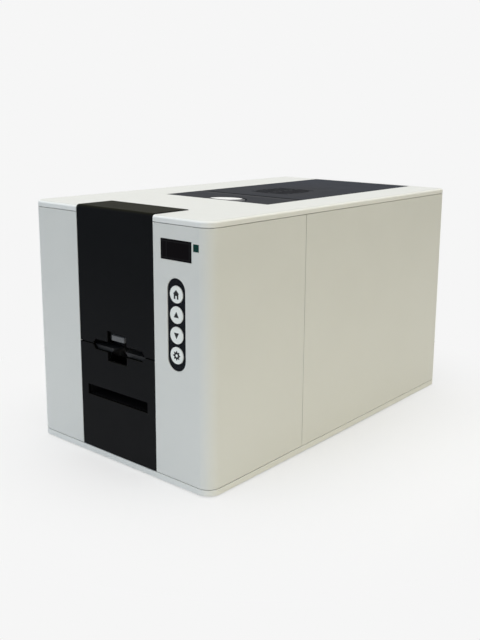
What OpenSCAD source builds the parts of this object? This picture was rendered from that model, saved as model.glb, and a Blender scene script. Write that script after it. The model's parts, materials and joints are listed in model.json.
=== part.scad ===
// Desk-top printer for plastic identity cards.
// The casing opens at a black front door and at a dark top cover; cards run front to back on rollers,
// under a hinged thermal head and its ribbon, and leave by the mouth or by the slot below it.
// X runs to the right seen from the front, Y to the rear, Z up. The origin is the middle of the footprint.

/* [Casing] */
// Width of the casing
body_w = 219; // [212:1:240]
// Depth of the casing from the front face to the rear face
body_d = 376; // [372:1:410]
// Height of the casing with its feet
body_h = 225; // [223:1:240]
// Radius of the two upright front corners
front_r = 12; // [8:0.5:15]
// Radius of the top edge and of the upright rear corners
edge_r = 2.5; // [1.5:0.1:4]
// Thickness of the moulded walls
wall = 2.5; // [2:0.1:3]
// Height of the seam between base and shells
base_h = 6.6; // [6:0.1:8]
// Height of the top cover's rim, from its seam to the top
lid_h = 5.6; // [5.4:0.1:8]
// Width of the seams between casing parts
seam = 0.5; // [0.3:0.1:0.8]
// Distance of the upright side seam from the front face
side_seam_d = 123.4; // [118:0.2:135]
// How far the rubber feet stand out below the base
foot_proud = 1.2; // [0.8:0.1:1.8]
// Radius of a rubber foot
foot_r = 9; // [6:0.5:12]

/* [Black front strip] */
// Middle of the black strip, to the right of the casing's middle
strip_x = 0.5; // [-2:0.5:4]
// Width of the black strip
strip_w = 95; // [94:0.5:98]
// Thickness of the door and of the panel below it
strip_t = 3; // [2.5:0.1:3.5]
// Depth of the cap that the door folds over the top
cap_d = 42.7; // [40:0.1:46]
// How far the cap stands above the top cover
cap_proud = 0.8; // [0.4:0.1:1.5]
// Height of the split between door and lower panel
split_z = 104.3; // [103:0.1:106]
// Gap between the door and the panel below it
split_gap = 1; // [0.6:0.1:1.4]
// Radius of the door's barrel, which its hinge pin runs in
barrel_r = 3.2; // [3:0.1:3.6]
// Radius of both hinge pins
pin_r = 1.5; // [1.2:0.1:1.8]

/* [Card mouth and exit slot] */
// Middle of the card mouth
mouth_x = 3; // [1:0.5:5]
// Width of the card mouth between its pointed ends
mouth_w = 60; // [57:0.5:64]
// Height of the card mouth
mouth_h = 9.4; // [8:0.2:11]
// Length of each pointed end of the mouth
mouth_tip = 3.5; // [2:0.5:5]
// Middle of the finger notch above and below the mouth
notch_x = 1.5; // [0:0.5:3]
// Width of the finger notch
notch_w = 24.5; // [22:0.5:28]
// Height of the notch in the door
notch_up = 14.7; // [13.5:0.1:16]
// Height of the notch in the lower panel
notch_down = 12.3; // [11:0.1:14]
// Middle of the exit slot
slot_x = 0; // [-1:0.5:1]
// Width of the exit slot
slot_w = 77; // [72:0.5:79]
// Height of the exit slot
slot_h = 9.5; // [8:0.1:11]
// Height of the exit slot's lower edge
slot_z = 56; // [52:0.5:60]

/* [Display and keys] */
// How far the display and the keypad stand inward of the right cheek's middle
panel_in = 5; // [3:0.1:5.5]
// Width of the display window
display_w = 34; // [30:0.5:36]
// Height of the display window
display_h = 16.7; // [14:0.1:18]
// Distance of the display's middle below the casing's top
display_drop = 25.8; // [24:0.1:28]
// Side of the square status light
light_s = 6; // [4:0.5:7]
// Width of the keypad's oblong
pad_w = 19.9; // [19:0.1:21]
// Length of the keypad's oblong
pad_l = 76.4; // [74:0.2:80]
// Distance of the keypad's middle below the display's
pad_drop = 60.4; // [59:0.2:63]
// Radius of a key
key_r = 7.1; // [6:0.1:7.3]
// Distance from key to key
key_pitch = 16.7; // [16.4:0.1:17.5]
// Travel of a key
key_travel = 0.5; // [0.3:0.1:0.6]

/* [Top door] */
// Middle of the top door
lid_door_x = 6.5; // [5:0.5:8]
// Width of the top door
lid_door_w = 127.6; // [122:0.2:132]
// Distance of its front edge from the front face
lid_door_d = 118.4; // [116:0.2:122]
// Distance of its rear edge from the rear face
lid_door_rear = 4.2; // [4:0.1:8]
// Thickness of the top door
lid_door_t = 3; // [2.6:0.1:3.4]
// Radius of the half-moon finger notch
moon_r = 23; // [18:0.5:26]
// Middle of the half-moon finger notch
moon_x = 13.5; // [9:0.5:18]
// Gap for a fingernail between the notch and the white pad in it
nail_gap = 1.6; // [1.2:0.1:2]

/* [Card path] */
// Width of a card
card_w = 54; // [54:0.1:54.4]
// Thickness of a card
card_t = 0.8; // [0.6:0.1:1]
// Radius of a drive roller's rubber
roller_r = 7; // [6.5:0.1:7.4]
// Radius of the rollers that press from above
pinch_r = 5; // [4.5:0.1:5.5]
// Radius of a drive shaft
shaft_r = 3; // [2.5:0.1:3.2]
// Distance of the mouth roller from the front face
mouth_roller_d = 22; // [21:0.5:24]
// Distance of the feed roller from the front face
feed_roller_d = 98; // [97:0.5:99]
// Distance of the platen roller from the front face
platen_d = 215; // [214:0.5:217]
// Distance from the roller before the head back to the platen roller
head_run = 43; // [41:0.5:45]
// Radius of a belt pulley
pulley_r = 8; // [7.5:0.1:8.4]
// Radial clearance of a shaft in its bearing
run_gap = 0.05; // [0.02:0.01:0.09]
// Clearance between parts that move past each other
gap = 0.4; // [0.3:0.05:0.5]

/* [Chassis] */
// Width between the two side plates
bay_w = 88; // [86:0.5:90]
// Thickness of the sheet steel
sheet_t = 2; // [1.5:0.1:2.2]
// Height of the hopper floor's upper face
hopper_z = 124; // [123:0.5:126]
// Distance of the hopper's rim below the casing's top
hopper_drop = 23; // [21:0.5:28]

/* [Ribbon and head] */
// Height of both ribbon spools' axes
spool_z = 167; // [164:0.5:170]
// Distance of the supply spool from the front face
supply_d = 163; // [161:0.5:166]
// Distance of the take-up spool from the front face
takeup_d = 260; // [257:0.5:263]
// Radius of the film on the supply spool
supply_r = 17; // [14:0.5:18]
// Radius of the film on the take-up spool
takeup_r = 12; // [10.5:0.5:15]
// Radius of a spool's core
core_r = 8; // [7:0.5:9]
// Width of the ribbon film
film_w = 60; // [56:0.5:62]
// Angle that the head lifts by
head_lift = 4; // [3:0.5:5]

/* [Hidden] */
$fn = 64;

// Casing levels and limits
front_y = -body_d / 2;
rear_y = body_d / 2;
base_top = base_h - seam / 2;
shell_bottom = base_h + seam / 2;
lid_bottom = body_h - lid_h + seam / 2;
shell_top = body_h - lid_h - seam / 2;
base_t = 2.4;
floor_z = foot_proud + base_t;
lip_gap = 0.2;
lip_t = 1.4;
lip_in = wall + lip_gap + lip_t;
lip_rise = 4;
top_t = 2.6;
cap_top = body_h + cap_proud;
flange_w = 2;
strip_l = strip_x - strip_w / 2;
strip_r = strip_x + strip_w / 2;
cap_pin_d = cap_d - barrel_r;
cap_pin_z = cap_top - barrel_r;
back_gap = 0.3;
screw_r = 1.5;
screw_head_r = 2.9;
rear_screw_z = [base_h + 15.4, body_h / 2, shell_top - 15.2];

// Top door
lid_door_back = body_d - lid_door_rear;
lid_l = lid_door_x - lid_door_w / 2;
lid_r = lid_door_x + lid_door_w / 2;
lid_barrel_r = lid_door_t;
lid_pin_d = lid_door_back - lid_barrel_r;
lid_pin_z = body_h - lid_barrel_r;
lid_line_d = lid_door_d + 50;
seat_gap = 0.3;
ledge_w = 7;
ledge_z = body_h - lid_door_t - gap;
ledge_t = 2;
moon_d = lid_door_d + 3;
moon_back = moon_d + moon_r;
pad_low = 0.15;
dish_r = 60;
dish_deep = 0.5;
line_w = 2;
line_deep = 0.8;
pin_reach = 6;
vent_d = lid_line_d + 34;
vent_pitch = 9;
vent_rows = 6;
vent_l = 19;

// Chassis and card path
bay_l = strip_x - bay_w / 2;
bay_r = strip_x + bay_w / 2;
plate_l = bay_l - sheet_t;
plate_r = bay_r + sheet_t;
head_roller_d = platen_d - head_run;
nip = card_t / 2 + 0.1;
shaft_z = split_z - nip - roller_r;
pinch_z = split_z + nip + pinch_r;
pinch_axle_r = 2.5;
bush_r = shaft_r + 2;
flange_t = 1.2;
plate_front = 12;
plate_back = takeup_d + 32;
plate_foot = 14;
tie_r = 4;
hopper_top = body_h - hopper_drop;
tower_back = 110;
tower_top = hopper_top + tie_r;
ribbon_top = spool_z + 24;
flap_d = tower_back;
flap_z = split_z - 4.5;
flap_axle_r = 2;
guide_z = split_z - card_t / 2 - 0.3;
guide_t = 1.5;
guide_lip = 8;
lip_half = notch_w / 2 - 5.2;
lip_end = mouth_w / 2 + 3;
hop_front = 14;
hop_back = 101;
hop_half = card_w / 2 + 0.6;
hop_wall = 2.4;
hop_floor_t = 3;
chute_t = 2;
chute_turn = 88;
chute_top_d = flap_d + 16;
pickup_r = 8;
pickup_d = 70;
pickup_z = hopper_z - pickup_r - 0.2;
ring_x = 18;
ring_w = 12;
axle_out = 1.5;

// Drive train beside the right plate
pulley_x = plate_r + flange_t + 1.5;
belt_w = 6;
rim_t = 1;
rim_rise = 2.2;
pulley_len = belt_w + 2 * rim_t + 0.6;
belt_gap = 0.3;
belt_t = 1.4;
gear_x = pulley_x + pulley_len + 1.5;
gear_t = 5;
big_teeth = 48;
small_teeth = 12;
drive_m = 1;
motor_s = 39;
motor_len = 32;
motor_z = shaft_z - drive_m * (big_teeth + small_teeth) / 2;
motor_shaft_r = 2.5;
motor_nose_r = 10.5;

// Gears beside the left plate, from the feed shaft to the pick-up shaft
feed_teeth = 34;
pickup_span = sqrt(pow(feed_roller_d - pickup_d, 2) + pow(pickup_z - shaft_z, 2));
feed_m = pickup_span / feed_teeth;
feed_line = atan2(pickup_z - shaft_z, pickup_d - feed_roller_d);
feed_gear_x = plate_l - flange_t - 1 - gear_t;

// Head, its pivot and the lifting cam
journal_r = 5;
film_t = 0.3;
film_z = split_z + card_t / 2 + 0.3;
head_z = film_z + film_t + 0.3;
head_half = 31;
head_d0 = platen_d - 8;
head_d1 = platen_d + 7;
pivot_d = platen_d + 37;
pivot_z = head_z + 20;
arm_x = 34;
arm_t = 4;
cam_d = platen_d - 21;
cam_r = 6;
cam_off = (pivot_d - cam_d) * sin(head_lift) / 2;
cam_z = pivot_z;
arm_under = cam_z + cam_r - cam_off + gap + 0.1;

// Rear electrics
inlet_x = body_w / 2 - 37;
inlet_z = 34;
inlet_w = 27;
inlet_h = 20;
inlet_deep = 22;
inlet_wall = 1.6;
rocker_z = inlet_z + inlet_h / 2 + 17;
rocker_w = 14;
rocker_h = 19;
rocker_lean = 8;
rocker_pin_d = body_d - 6;
switch_w = rocker_w + 5;
switch_h = rocker_h + 8;
fan_x = strip_x;
fan_z = body_h - 75;
fan_s = 60;
fan_t = 15;
fan_back = body_d - wall - 0.3;
board_t = 1.6;
board_x = plate_l - 10;
board_front = platen_d - 3;
board_low = 70;
board_high = 178;
port_x = board_x - 10;
port_gap = 0.5;
port_deep = 20;
usb_z = 90;
usb_w = 12;
usb_h = 11;
lan_z = 118;
lan_w = 16;
lan_h = 14;
supply_l = bay_l - 20;
supply_r_end = bay_r;
supply_front = plate_back + 8;
supply_back = body_d - 18;
supply_top = 50;

// Front panel
cheek_mid = (strip_r + body_w / 2) / 2;
panel_x = cheek_mid - panel_in;
display_z = body_h - display_drop;
pad_z = display_z - pad_drop;
bezel_d = 0.6;
bezel_t = 2;
bezel_back = bezel_d + bezel_t;
fit_gap = 0.3;
board_d = 8.6;
light_x = panel_x + display_w / 2 + 1.7 + light_s / 2;
light_z = display_z + 4;
panel_board_l = panel_x - display_w / 2;
panel_board_r = light_x + light_s / 2 + 0.3;
key_rows = [1.5, 0.5, -0.5, -1.5];

function fy(d) = front_y + d;

// A block between two distances from the front face
module slab(x0, x1, d0, d1, z0, z1) {
    translate([x0, fy(d0), z0]) cube([x1 - x0, d1 - d0, z1 - z0]);
}

// A round bar along X
module rod_x(r, x0, x1, d, z) {
    translate([x0, fy(d), z]) rotate([0, 90, 0]) cylinder(r = r, h = x1 - x0);
}

// A round bar along Y
module rod_y(r, x, d0, d1, z) {
    translate([x, fy(d1), z]) rotate([90, 0, 0]) cylinder(r = r, h = d1 - d0);
}

// Extrudes a side view, drawn as distance from the front and height, along X
module side_view(x0, x1) {
    translate([x0, front_y, 0]) rotate([90, 0, 90]) linear_extrude(x1 - x0) children();
}

// Extrudes a front view, drawn as X and Z, along Y
module front_view(d0, d1) {
    translate([0, fy(d1), 0]) rotate([90, 0, 0]) linear_extrude(d1 - d0) children();
}

// An upright outline with round ends
module oblong(r, length) {
    square([2 * r, length - 2 * r], center = true);
    for (s = [-1, 1]) translate([0, s * (length / 2 - r)]) circle(r);
}

// Plan of the casing, drawn in by a distance on every side
module plan(inset = 0) {
    half = body_w / 2 - inset;
    fr = front_r - inset;
    rr = max(edge_r - inset, 0);
    front = front_y + inset;
    rear = rear_y - inset;
    translate([-half + fr, front]) square([2 * (half - fr), rear - front - rr]);
    translate([-half, front + fr]) square([2 * half, rear - rr - front - fr]);
    translate([-half + rr, rear - front_r]) square([2 * (half - rr), front_r]);
    for (s = [-1, 1]) {
        translate([s * (half - fr), front + fr]) circle(fr);
        if (rr > 0) translate([s * (half - rr), rear - rr]) circle(rr);
    }
}

// Upright wall along the casing's outline
module plan_wall(outer, inner, z0, z1) {
    translate([0, 0, z0]) linear_extrude(z1 - z0) difference() {
        plan(outer);
        plan(inner);
    }
}

// Gear teeth on a disc, with a little backlash
module gear_outline(teeth, m) {
    pitch = teeth * m / 2;
    root = pitch - 1.2 * m;
    tip = pitch + 0.85 * m;
    circle(root);
    for (i = [0:teeth - 1]) rotate(i * 360 / teeth) polygon([
        [root - 0.4 * m, -1.02 * m], [root, -1.02 * m], [pitch, -0.68 * m], [tip, -0.3 * m],
        [tip, 0.3 * m], [pitch, 0.68 * m], [root, 1.02 * m], [root - 0.4 * m, 1.02 * m],
    ]);
}

module gear_x_axis(teeth, m, x0, x1, d, z, turn = 0) {
    translate([x0, fy(d), z]) rotate([90, 0, 90]) rotate(turn) linear_extrude(x1 - x0)
        gear_outline(teeth, m);
}

// Base with a rim, a lip that the shells drop over, cooling slots and seats for the feet
module base_tray() color("whitesmoke") difference() {
    union() {
        plan_wall(0, wall, foot_proud, base_top);
        plan_wall(wall + lip_gap, lip_in, foot_proud, base_top + lip_rise);
        translate([0, 0, foot_proud]) linear_extrude(base_t) plan();
    }
    slab(strip_l - gap - 3, strip_r + gap + 3, wall, front_r + 1, floor_z, base_top + lip_rise + 1);
    foot_places() cylinder(r = foot_r, h = foot_proud + 1);
    for (side = [-1, 1], i = [0:7])
        translate([side * (body_w / 2 - 33), fy(tower_back) + i * 9, 0]) slot_hole(46);
    screw_places_base() cylinder(r = screw_r + 0.2, h = 3 * base_h);
    screw_places_base() cylinder(r = screw_head_r + 0.3, h = foot_proud + 1.2);
}

module slot_hole(length) {
    translate([-length / 2, -1.5, -1]) cube([length, 3, base_h + 2]);
    for (s = [-1, 1]) translate([s * length / 2, 0, -1]) cylinder(r = 1.5, h = base_h + 2);
}

module foot_places() {
    for (sx = [-1, 1], sy = [-1, 1])
        translate([sx * (body_w / 2 - 24), sy * (body_d / 2 - 28), 0]) children();
}

module screw_places_base() {
    for (x = [plate_l - plate_foot / 2, plate_r + plate_foot / 2], d = [plate_front + 28,
        (plate_front + plate_back) / 2 - 2, plate_back - 17]) translate([x, fy(d), 0]) children();
}

module rubber_feet() color("dimgray") foot_places() difference() {
    cylinder(r = foot_r, h = foot_proud + 1);
    translate([0, 0, -1]) cylinder(r = foot_r / 3, h = 1.6);
}

// Front shell: both cheeks round the corners, the opening for the black strip and the plate behind it
module front_shell() color("gainsboro") difference() {
    union() {
        intersection() {
            plan_wall(0, wall, shell_bottom, shell_top);
            slab(-body_w, body_w, -1, side_seam_d - seam / 2, 0, body_h);
        }
        intersection() {
            plan_wall(wall + lip_gap, lip_in, base_top + lip_rise + 1, lid_bottom - 2 * lip_rise);
            slab(-body_w, body_w, side_seam_d - 7, side_seam_d + 2 * lip_rise, 0, body_h);
        }
        intersection() {
            plan_wall(wall - 0.1, lip_in, base_top + lip_rise + 1, lid_bottom - 2 * lip_rise);
            slab(-body_w, body_w, side_seam_d - 8, side_seam_d - 4, 0, body_h);
        }
        for (s = [-1, 1]) {
            edge = strip_x + s * (strip_w + flange_w + 2 * gap) / 2;
            slab(edge - flange_w / 2, edge + flange_w / 2, wall - 1, 10, shell_bottom, shell_top - 3);
        }
        slab(strip_l - 3, strip_r + 3, strip_t + back_gap, strip_t + back_gap + flange_w,
            base_top + lip_rise + 1, slot_z + slot_h + 20);
    }
    slab(strip_l - gap, strip_r + gap, -1, strip_t + back_gap, 0, body_h);
    slab(slot_x - slot_w / 2 - chute_t - 0.2, slot_x + slot_w / 2 + chute_t + 0.2, 0, 9,
        slot_z - chute_t - 0.2, slot_z + slot_h + chute_t + 0.2);
    front_view(-1, 9) translate([panel_x, display_z]) square([display_w, display_h], center = true);
    front_view(-1, 9) translate([light_x, light_z]) square(light_s, center = true);
    front_view(-1, 9) translate([panel_x, pad_z]) oblong(pad_w / 2, pad_l);
}

// Rear shell: the long sides and the back with its grille and sockets
module rear_shell() color("gainsboro") difference() {
    intersection() {
        plan_wall(0, wall, shell_bottom, shell_top);
        slab(-body_w, body_w, side_seam_d + seam / 2, body_d + 1, 0, body_h);
    }
    fan_grille();
    rear_cut(inlet_x, inlet_z, inlet_w + 0.4, inlet_h + 0.4);
    rear_cut(inlet_x, rocker_z, switch_w + 0.4, switch_h + 0.4);
    rear_cut(port_x, usb_z, usb_w + 2 * port_gap, usb_h + 2 * port_gap);
    rear_cut(port_x, lan_z, lan_w + 2 * port_gap, lan_h + 2 * port_gap);
    rear_screws() rod_y(screw_r + 0.1, 0, body_d - 2 * wall, body_d + 1, 0);
    rear_screws() rod_y(screw_head_r + 0.2, 0, body_d - 1.4, body_d + 1, 0);
}

module rear_cut(x, z, w, h) {
    slab(x - w / 2, x + w / 2, body_d - 2 * wall, body_d + 1, z - h / 2, z + h / 2);
}

module rear_screws() {
    for (s = [-1, 1], z = rear_screw_z) translate([s * (body_w / 2 - 15), 0, z]) children();
}

// Level slots that stop at a round outline, with a solid hub in the middle
module fan_grille() {
    translate([fan_x, rear_y + 1, fan_z]) rotate([90, 0, 0]) linear_extrude(2 * wall) difference() {
        intersection() {
            circle(fan_s / 2 - 2);
            for (i = [-6:6]) translate([-fan_s / 2, i * 4.4 - 1.4]) square([fan_s, 2.8]);
        }
        circle(7);
        square([2.4, fan_s], center = true);
    }
}

// Keeps what lies above a level
module above(z) intersection() {
    children();
    translate([0, 0, z + body_h / 2]) cube([2 * body_w, 2 * body_d, body_h], center = true);
}

// Blank of the top cover: its top edge is rounded by bars, rings at the front corners and balls behind
module lid_blank() {
    roll_z = body_h - edge_r;
    half = body_w / 2;
    translate([0, 0, lid_bottom]) linear_extrude(roll_z - lid_bottom) plan();
    translate([0, 0, lid_bottom]) linear_extrude(body_h - lid_bottom) plan(edge_r);
    above(roll_z) {
        for (s = [-1, 1]) translate([s * (half - edge_r), fy(front_r), roll_z]) rotate([-90, 0, 0])
            cylinder(r = edge_r, h = body_d - front_r - edge_r);
        rod_x(edge_r, -half + front_r, half - front_r, edge_r, roll_z);
        rod_x(edge_r, -half + edge_r, half - edge_r, body_d - edge_r, roll_z);
    }
    for (s = [-1, 1]) {
        above(roll_z) translate([s * (half - front_r), fy(front_r), roll_z]) rotate_extrude()
            translate([front_r - edge_r, 0]) circle(edge_r);
        above(roll_z) translate([s * (half - edge_r), rear_y - edge_r, roll_z]) sphere(edge_r);
    }
}

// Top cover: a gap for the cap, the seat of the top door with its finger pad, and bosses for the pins
module top_cover() color("white") {
    difference() {
        union() {
            difference() {
                lid_blank();
                translate([0, 0, lid_bottom - 1]) linear_extrude(body_h - top_t - lid_bottom + 1)
                    plan(wall);
            }
            intersection() {
                plan_wall(wall + lip_gap, lip_in, shell_top - lip_rise - 1, body_h - top_t + 0.1);
                slab(-body_w, body_w, front_r + 6, body_d - 1, 0, body_h);
            }
            slab(lid_l - 3, lid_r + 3, lid_door_d - 3, lid_door_back + 1, ledge_z - ledge_t, body_h - 0.2);
            for (s = [-1, 1]) translate([strip_x + s * (strip_w / 2 + gap + 4), 0, 0])
                pin_boss(cap_pin_d, cap_pin_z);
            for (x = [lid_l - 4, lid_r + 4]) translate([x, 0, 0]) pin_boss(lid_pin_d, lid_pin_z);
        }
        slab(strip_l - gap, strip_r + gap, -1, cap_d + gap, 0, 2 * body_h);
        slab(lid_l - seat_gap, lid_r + seat_gap, lid_door_d - seat_gap, lid_door_back + gap,
            ledge_z, 2 * body_h);
        slab(lid_l + ledge_w, lid_r - ledge_w, moon_back + 6, lid_door_back - 14, 0, body_h);
        slab(lid_l - seat_gap, lid_r + seat_gap, lid_pin_d - lid_barrel_r - 1,
            lid_pin_d + lid_barrel_r + gap, lid_pin_z - lid_barrel_r - gap, body_h + 1);
        pin_bars();
    }
    finger_pad();
}

// White half-moon that fills the door's notch, with a shallow dish for a finger tip
module finger_pad() difference() {
    translate([0, 0, ledge_z - ledge_t]) linear_extrude(body_h - pad_low - ledge_z + ledge_t)
        moon_view(moon_r - nail_gap, lid_door_d - 1);
    translate([moon_x, fy(lid_door_d + moon_r / 2 + 1), body_h - pad_low + dish_r - dish_deep])
        sphere(r = dish_r);
}

// Half-moon from its straight side at d0 to the arc behind
module moon_view(r, d0) translate([moon_x, fy(moon_d)]) {
    intersection() {
        circle(r);
        translate([-r, d0 - moon_d]) square([2 * r, 2 * r]);
    }
    translate([-r, d0 - moon_d]) square([2 * r, moon_d - d0]);
}

module pin_boss(d, z) {
    slab(-4, 4, d - 4, min(d + 4, body_d - 1), z - 5, body_h - 0.2);
}

// The six-sided mouth, with the split between door and panel through its points
module mouth_outline() {
    tip = mouth_w / 2 + mouth_tip;
    translate([mouth_x, split_z]) polygon([
        [-tip, 0], [-mouth_w / 2, mouth_h / 2], [mouth_w / 2, mouth_h / 2],
        [tip, 0], [mouth_w / 2, -mouth_h / 2], [-mouth_w / 2, -mouth_h / 2],
    ]);
}

// Lower black panel with the exit slot, the lower half of the mouth and its finger notch
module lower_panel() color([0.1, 0.1, 0.11]) difference() {
    union() {
        slab(strip_l, strip_r, 0, strip_t, shell_bottom, split_z - split_gap / 2);
        for (s = [-1, 1]) slab(strip_x + s * 44 - 1, strip_x + s * 44 + 1, strip_t - 0.5, 9,
            slot_z + slot_h + 24, split_z - 8);
    }
    front_view(-1, strip_t + 1) mouth_outline();
    slab(notch_x - notch_w / 2, notch_x + notch_w / 2, -1, strip_t + 1, split_z - notch_down, split_z + 1);
    slab(slot_x - slot_w / 2, slot_x + slot_w / 2, -1, strip_t + 1, slot_z, slot_z + slot_h);
}

// Side view of the door: an upright leg, a rounded fold and the cap with its hinge barrel
module door_profile() {
    fold = strip_t;
    translate([0, split_z + split_gap / 2])
        square([strip_t, cap_top - fold - split_z - split_gap / 2]);
    translate([fold, cap_top - strip_t]) square([cap_pin_d - fold, strip_t]);
    translate([fold, cap_top - fold]) circle(fold);
    translate([cap_pin_d, cap_pin_z]) circle(barrel_r);
    polygon([[strip_t - 0.1, cap_top - strip_t - 6], [strip_t - 0.1, cap_top - strip_t + 0.1],
        [strip_t + 6, cap_top - strip_t + 0.1]]);
}

module feeder_door() color([0.1, 0.1, 0.11]) difference() {
    union() {
        side_view(strip_l, strip_r) door_profile();
        for (s = [-1, 1]) side_view(strip_x + s * 42 - 1, strip_x + s * 42 + 1) difference() {
            translate([strip_t - 0.2, split_z + 12]) square([cap_pin_d - 12, cap_top - split_z - 13]);
            translate([strip_t + 5, split_z]) square([cap_d, cap_top - split_z - strip_t - 5]);
        }
        for (s = [-1, 1]) slab(notch_x + s * 15 - 1.5, notch_x + s * 15 + 1.5, strip_t - 0.5, 8,
            split_z + 9, split_z + 34);
    }
    front_view(-1, strip_t + 1) mouth_outline();
    slab(notch_x - notch_w / 2, notch_x + notch_w / 2, -1, strip_t + 1, split_z - 1, split_z + notch_up);
    rod_x(pin_r + run_gap, strip_l - 1, strip_r + 1, cap_pin_d, cap_pin_z);
}

// Spring-held slider that lets the door go; its grey thumb tab shows in the notch
module door_latch() color("darkgray") {
    slab(notch_x - 7.7, notch_x + 8.2, 1.2, strip_t + 1, split_z + 7, split_z + 11.6);
    slab(notch_x - 12, notch_x + 12, strip_t + gap, strip_t + 2.4, split_z + 7, split_z + 31);
    slab(notch_x - 5, notch_x + 5, strip_t + 2, 17, hopper_z + 4.6, hopper_z + 7);
}

// Dark top door: a stepped plate with a half-moon notch, a slotted vent, ribs and a hinge barrel
module top_door() color([0.28, 0.29, 0.33]) difference() {
    union() {
        slab(lid_l, lid_r, lid_door_d, lid_pin_d, body_h - lid_door_t, body_h);
        rod_x(lid_barrel_r, lid_l, lid_r, lid_pin_d, lid_pin_z);
        for (x = [-52:26:52]) slab(lid_door_x + x - 0.8, lid_door_x + x + 0.8, moon_back + 8,
            lid_door_back - 17, body_h - lid_door_t - 4, body_h - lid_door_t + 0.2);
        for (d = [moon_back + 8, lid_door_back - 18]) slab(lid_door_x - 52, lid_door_x + 52,
            d, d + 1.6, body_h - lid_door_t - 4, body_h - lid_door_t + 0.2);
    }
    linear_extrude(2 * body_h) moon_view(moon_r, lid_door_d - 1);
    slab(lid_l - 1, lid_r + 1, lid_line_d, lid_line_d + line_w, body_h - line_deep, body_h + 1);
    for (i = [0:vent_rows - 1], x = [-14.5, 10.5])
        translate([lid_door_x + x, fy(vent_d + i * vent_pitch), body_h - 9]) top_slot(vent_l);
    rod_x(pin_r + run_gap, lid_l - 1, lid_r + 1, lid_pin_d, lid_pin_z);
}

module top_slot(length) {
    translate([-length / 2, -1.4, 0]) cube([length, 2.8, 12]);
    for (s = [-1, 1]) translate([s * length / 2, 0, 0]) cylinder(r = 1.4, h = 12);
}

module hinge_pins() color("silver") pin_bars();

module pin_bars() {
    rod_x(pin_r, strip_l - pin_reach, strip_r + pin_reach, cap_pin_d, cap_pin_z);
    rod_x(pin_r, lid_l - pin_reach, lid_r + pin_reach, lid_pin_d, lid_pin_z);
}

// Window glass flush with the front face, with a step that seats behind the wall
module display_window() color([0.05, 0.07, 0.08]) {
    front_view(0.2, wall + 0.6) translate([panel_x, display_z])
        square([display_w - fit_gap, display_h - fit_gap], center = true);
    front_view(wall + 0.1, wall + 1.1) translate([panel_x, display_z])
        square([display_w + 3, display_h + 3], center = true);
}

module status_light() color("seagreen") {
    front_view(0.2, board_d - fit_gap) translate([light_x, light_z])
        square(light_s - fit_gap, center = true);
}

module keypad_bezel() color([0.13, 0.14, 0.16]) difference() {
    union() {
        front_view(bezel_d, bezel_back) translate([panel_x, pad_z])
            oblong((pad_w - fit_gap) / 2, pad_l - fit_gap);
        front_view(wall + 0.1, wall + 1.1) translate([panel_x, pad_z]) oblong(pad_w / 2 + 2, pad_l + 4);
    }
    for (k = key_rows) key_place(k) rod_y(key_r + 0.25, 0, 0, bezel_back + 1, 0);
    front_view(bezel_back, wall + 4) translate([panel_x, pad_z])
        oblong(pad_w / 2 - 1.2, pad_l - 2.4);
}

module key_place(k) translate([panel_x, 0, pad_z + k * key_pitch]) children();

// A round key with a retaining flange and a stem for its switch
module key(k) color("ivory") key_place(k) {
    rod_y(key_r, 0, 0, bezel_back + 0.2, 0);
    rod_y(key_r + 0.8, 0, bezel_back + 0.1, bezel_back + 1, 0);
    rod_y(1.8, 0, bezel_back + 0.9, board_d - 3.4 - key_travel, 0);
}

module home_key() key(key_rows[0]);
module up_key() key(key_rows[1]);
module down_key() key(key_rows[2]);
module setup_key() key(key_rows[3]);

// Circuit board behind the panel: display module, four small switches and two posts
module panel_board() color("seagreen") {
    slab(panel_board_l, panel_board_r, board_d, board_d + board_t, pad_z - pad_l / 2 - 4, display_z + 12);
    slab(panel_x - display_w / 2, panel_x + display_w / 2, wall + 1.6, board_d + 0.1,
        display_z - display_h / 2, display_z + display_h / 2);
    for (k = key_rows) key_place(k) {
        slab(-3, 3, board_d - 2.4, board_d + 0.1, -3, 3);
        rod_y(1.6, 0, board_d - 3, board_d - 2, 0);
    }
    for (z = [pad_z - pad_l / 2 + 2, display_z - 14]) translate([0, 0, z])
        rod_y(2.5, panel_x - 13.5, wall + 0.2, board_d + 0.1, 0);
}

// Side view shared by both steel side plates
module plate_view() difference() {
    union() {
        translate([plate_front, floor_z]) square([plate_back - plate_front, hopper_z + 4 - floor_z]);
        translate([plate_front, floor_z]) square([tower_back - plate_front, tower_top - floor_z]);
        translate([supply_d - 26, floor_z]) square([plate_back - supply_d + 26, ribbon_top - floor_z]);
    }
    for (d = [mouth_roller_d, feed_roller_d, head_roller_d, platen_d])
        translate([d, shaft_z]) circle(bush_r);
    translate([pickup_d, pickup_z]) circle(bush_r);
    for (d = [mouth_roller_d, feed_roller_d, head_roller_d])
        translate([d, pinch_z]) circle(pinch_axle_r + run_gap);
    for (d = [supply_d, takeup_d]) translate([d, spool_z]) circle(journal_r + run_gap);
    translate([flap_d, flap_z]) circle(flap_axle_r + run_gap);
    translate([mouth_roller_d + 8, 26]) square([feed_roller_d - mouth_roller_d, 24]);
    translate([platen_d + 10, 26]) square([plate_back - platen_d - 25, 44]);
}

module left_side_plate() color("silver") {
    side_view(plate_l, bay_l) plate_view();
    difference() {
        slab(plate_l - plate_foot, plate_l + 0.1, plate_front, plate_back, floor_z, floor_z + sheet_t);
        screw_places_base() cylinder(r = screw_r + 0.2, h = 3 * base_h);
    }
}

module right_side_plate() color("silver") {
    difference() {
        side_view(bay_r, plate_r) plate_view();
        rod_x(motor_nose_r + 0.5, bay_r - 1, plate_r + 1, head_roller_d, motor_z);
        rod_x(shaft_r + 0.6, bay_r - 1, plate_r + 1, cam_d, cam_z);
    }
    difference() {
        slab(plate_r - 0.1, plate_r + plate_foot, plate_front, plate_back, floor_z, floor_z + sheet_t);
        screw_places_base() cylinder(r = screw_r + 0.2, h = 3 * base_h);
    }
}

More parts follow.
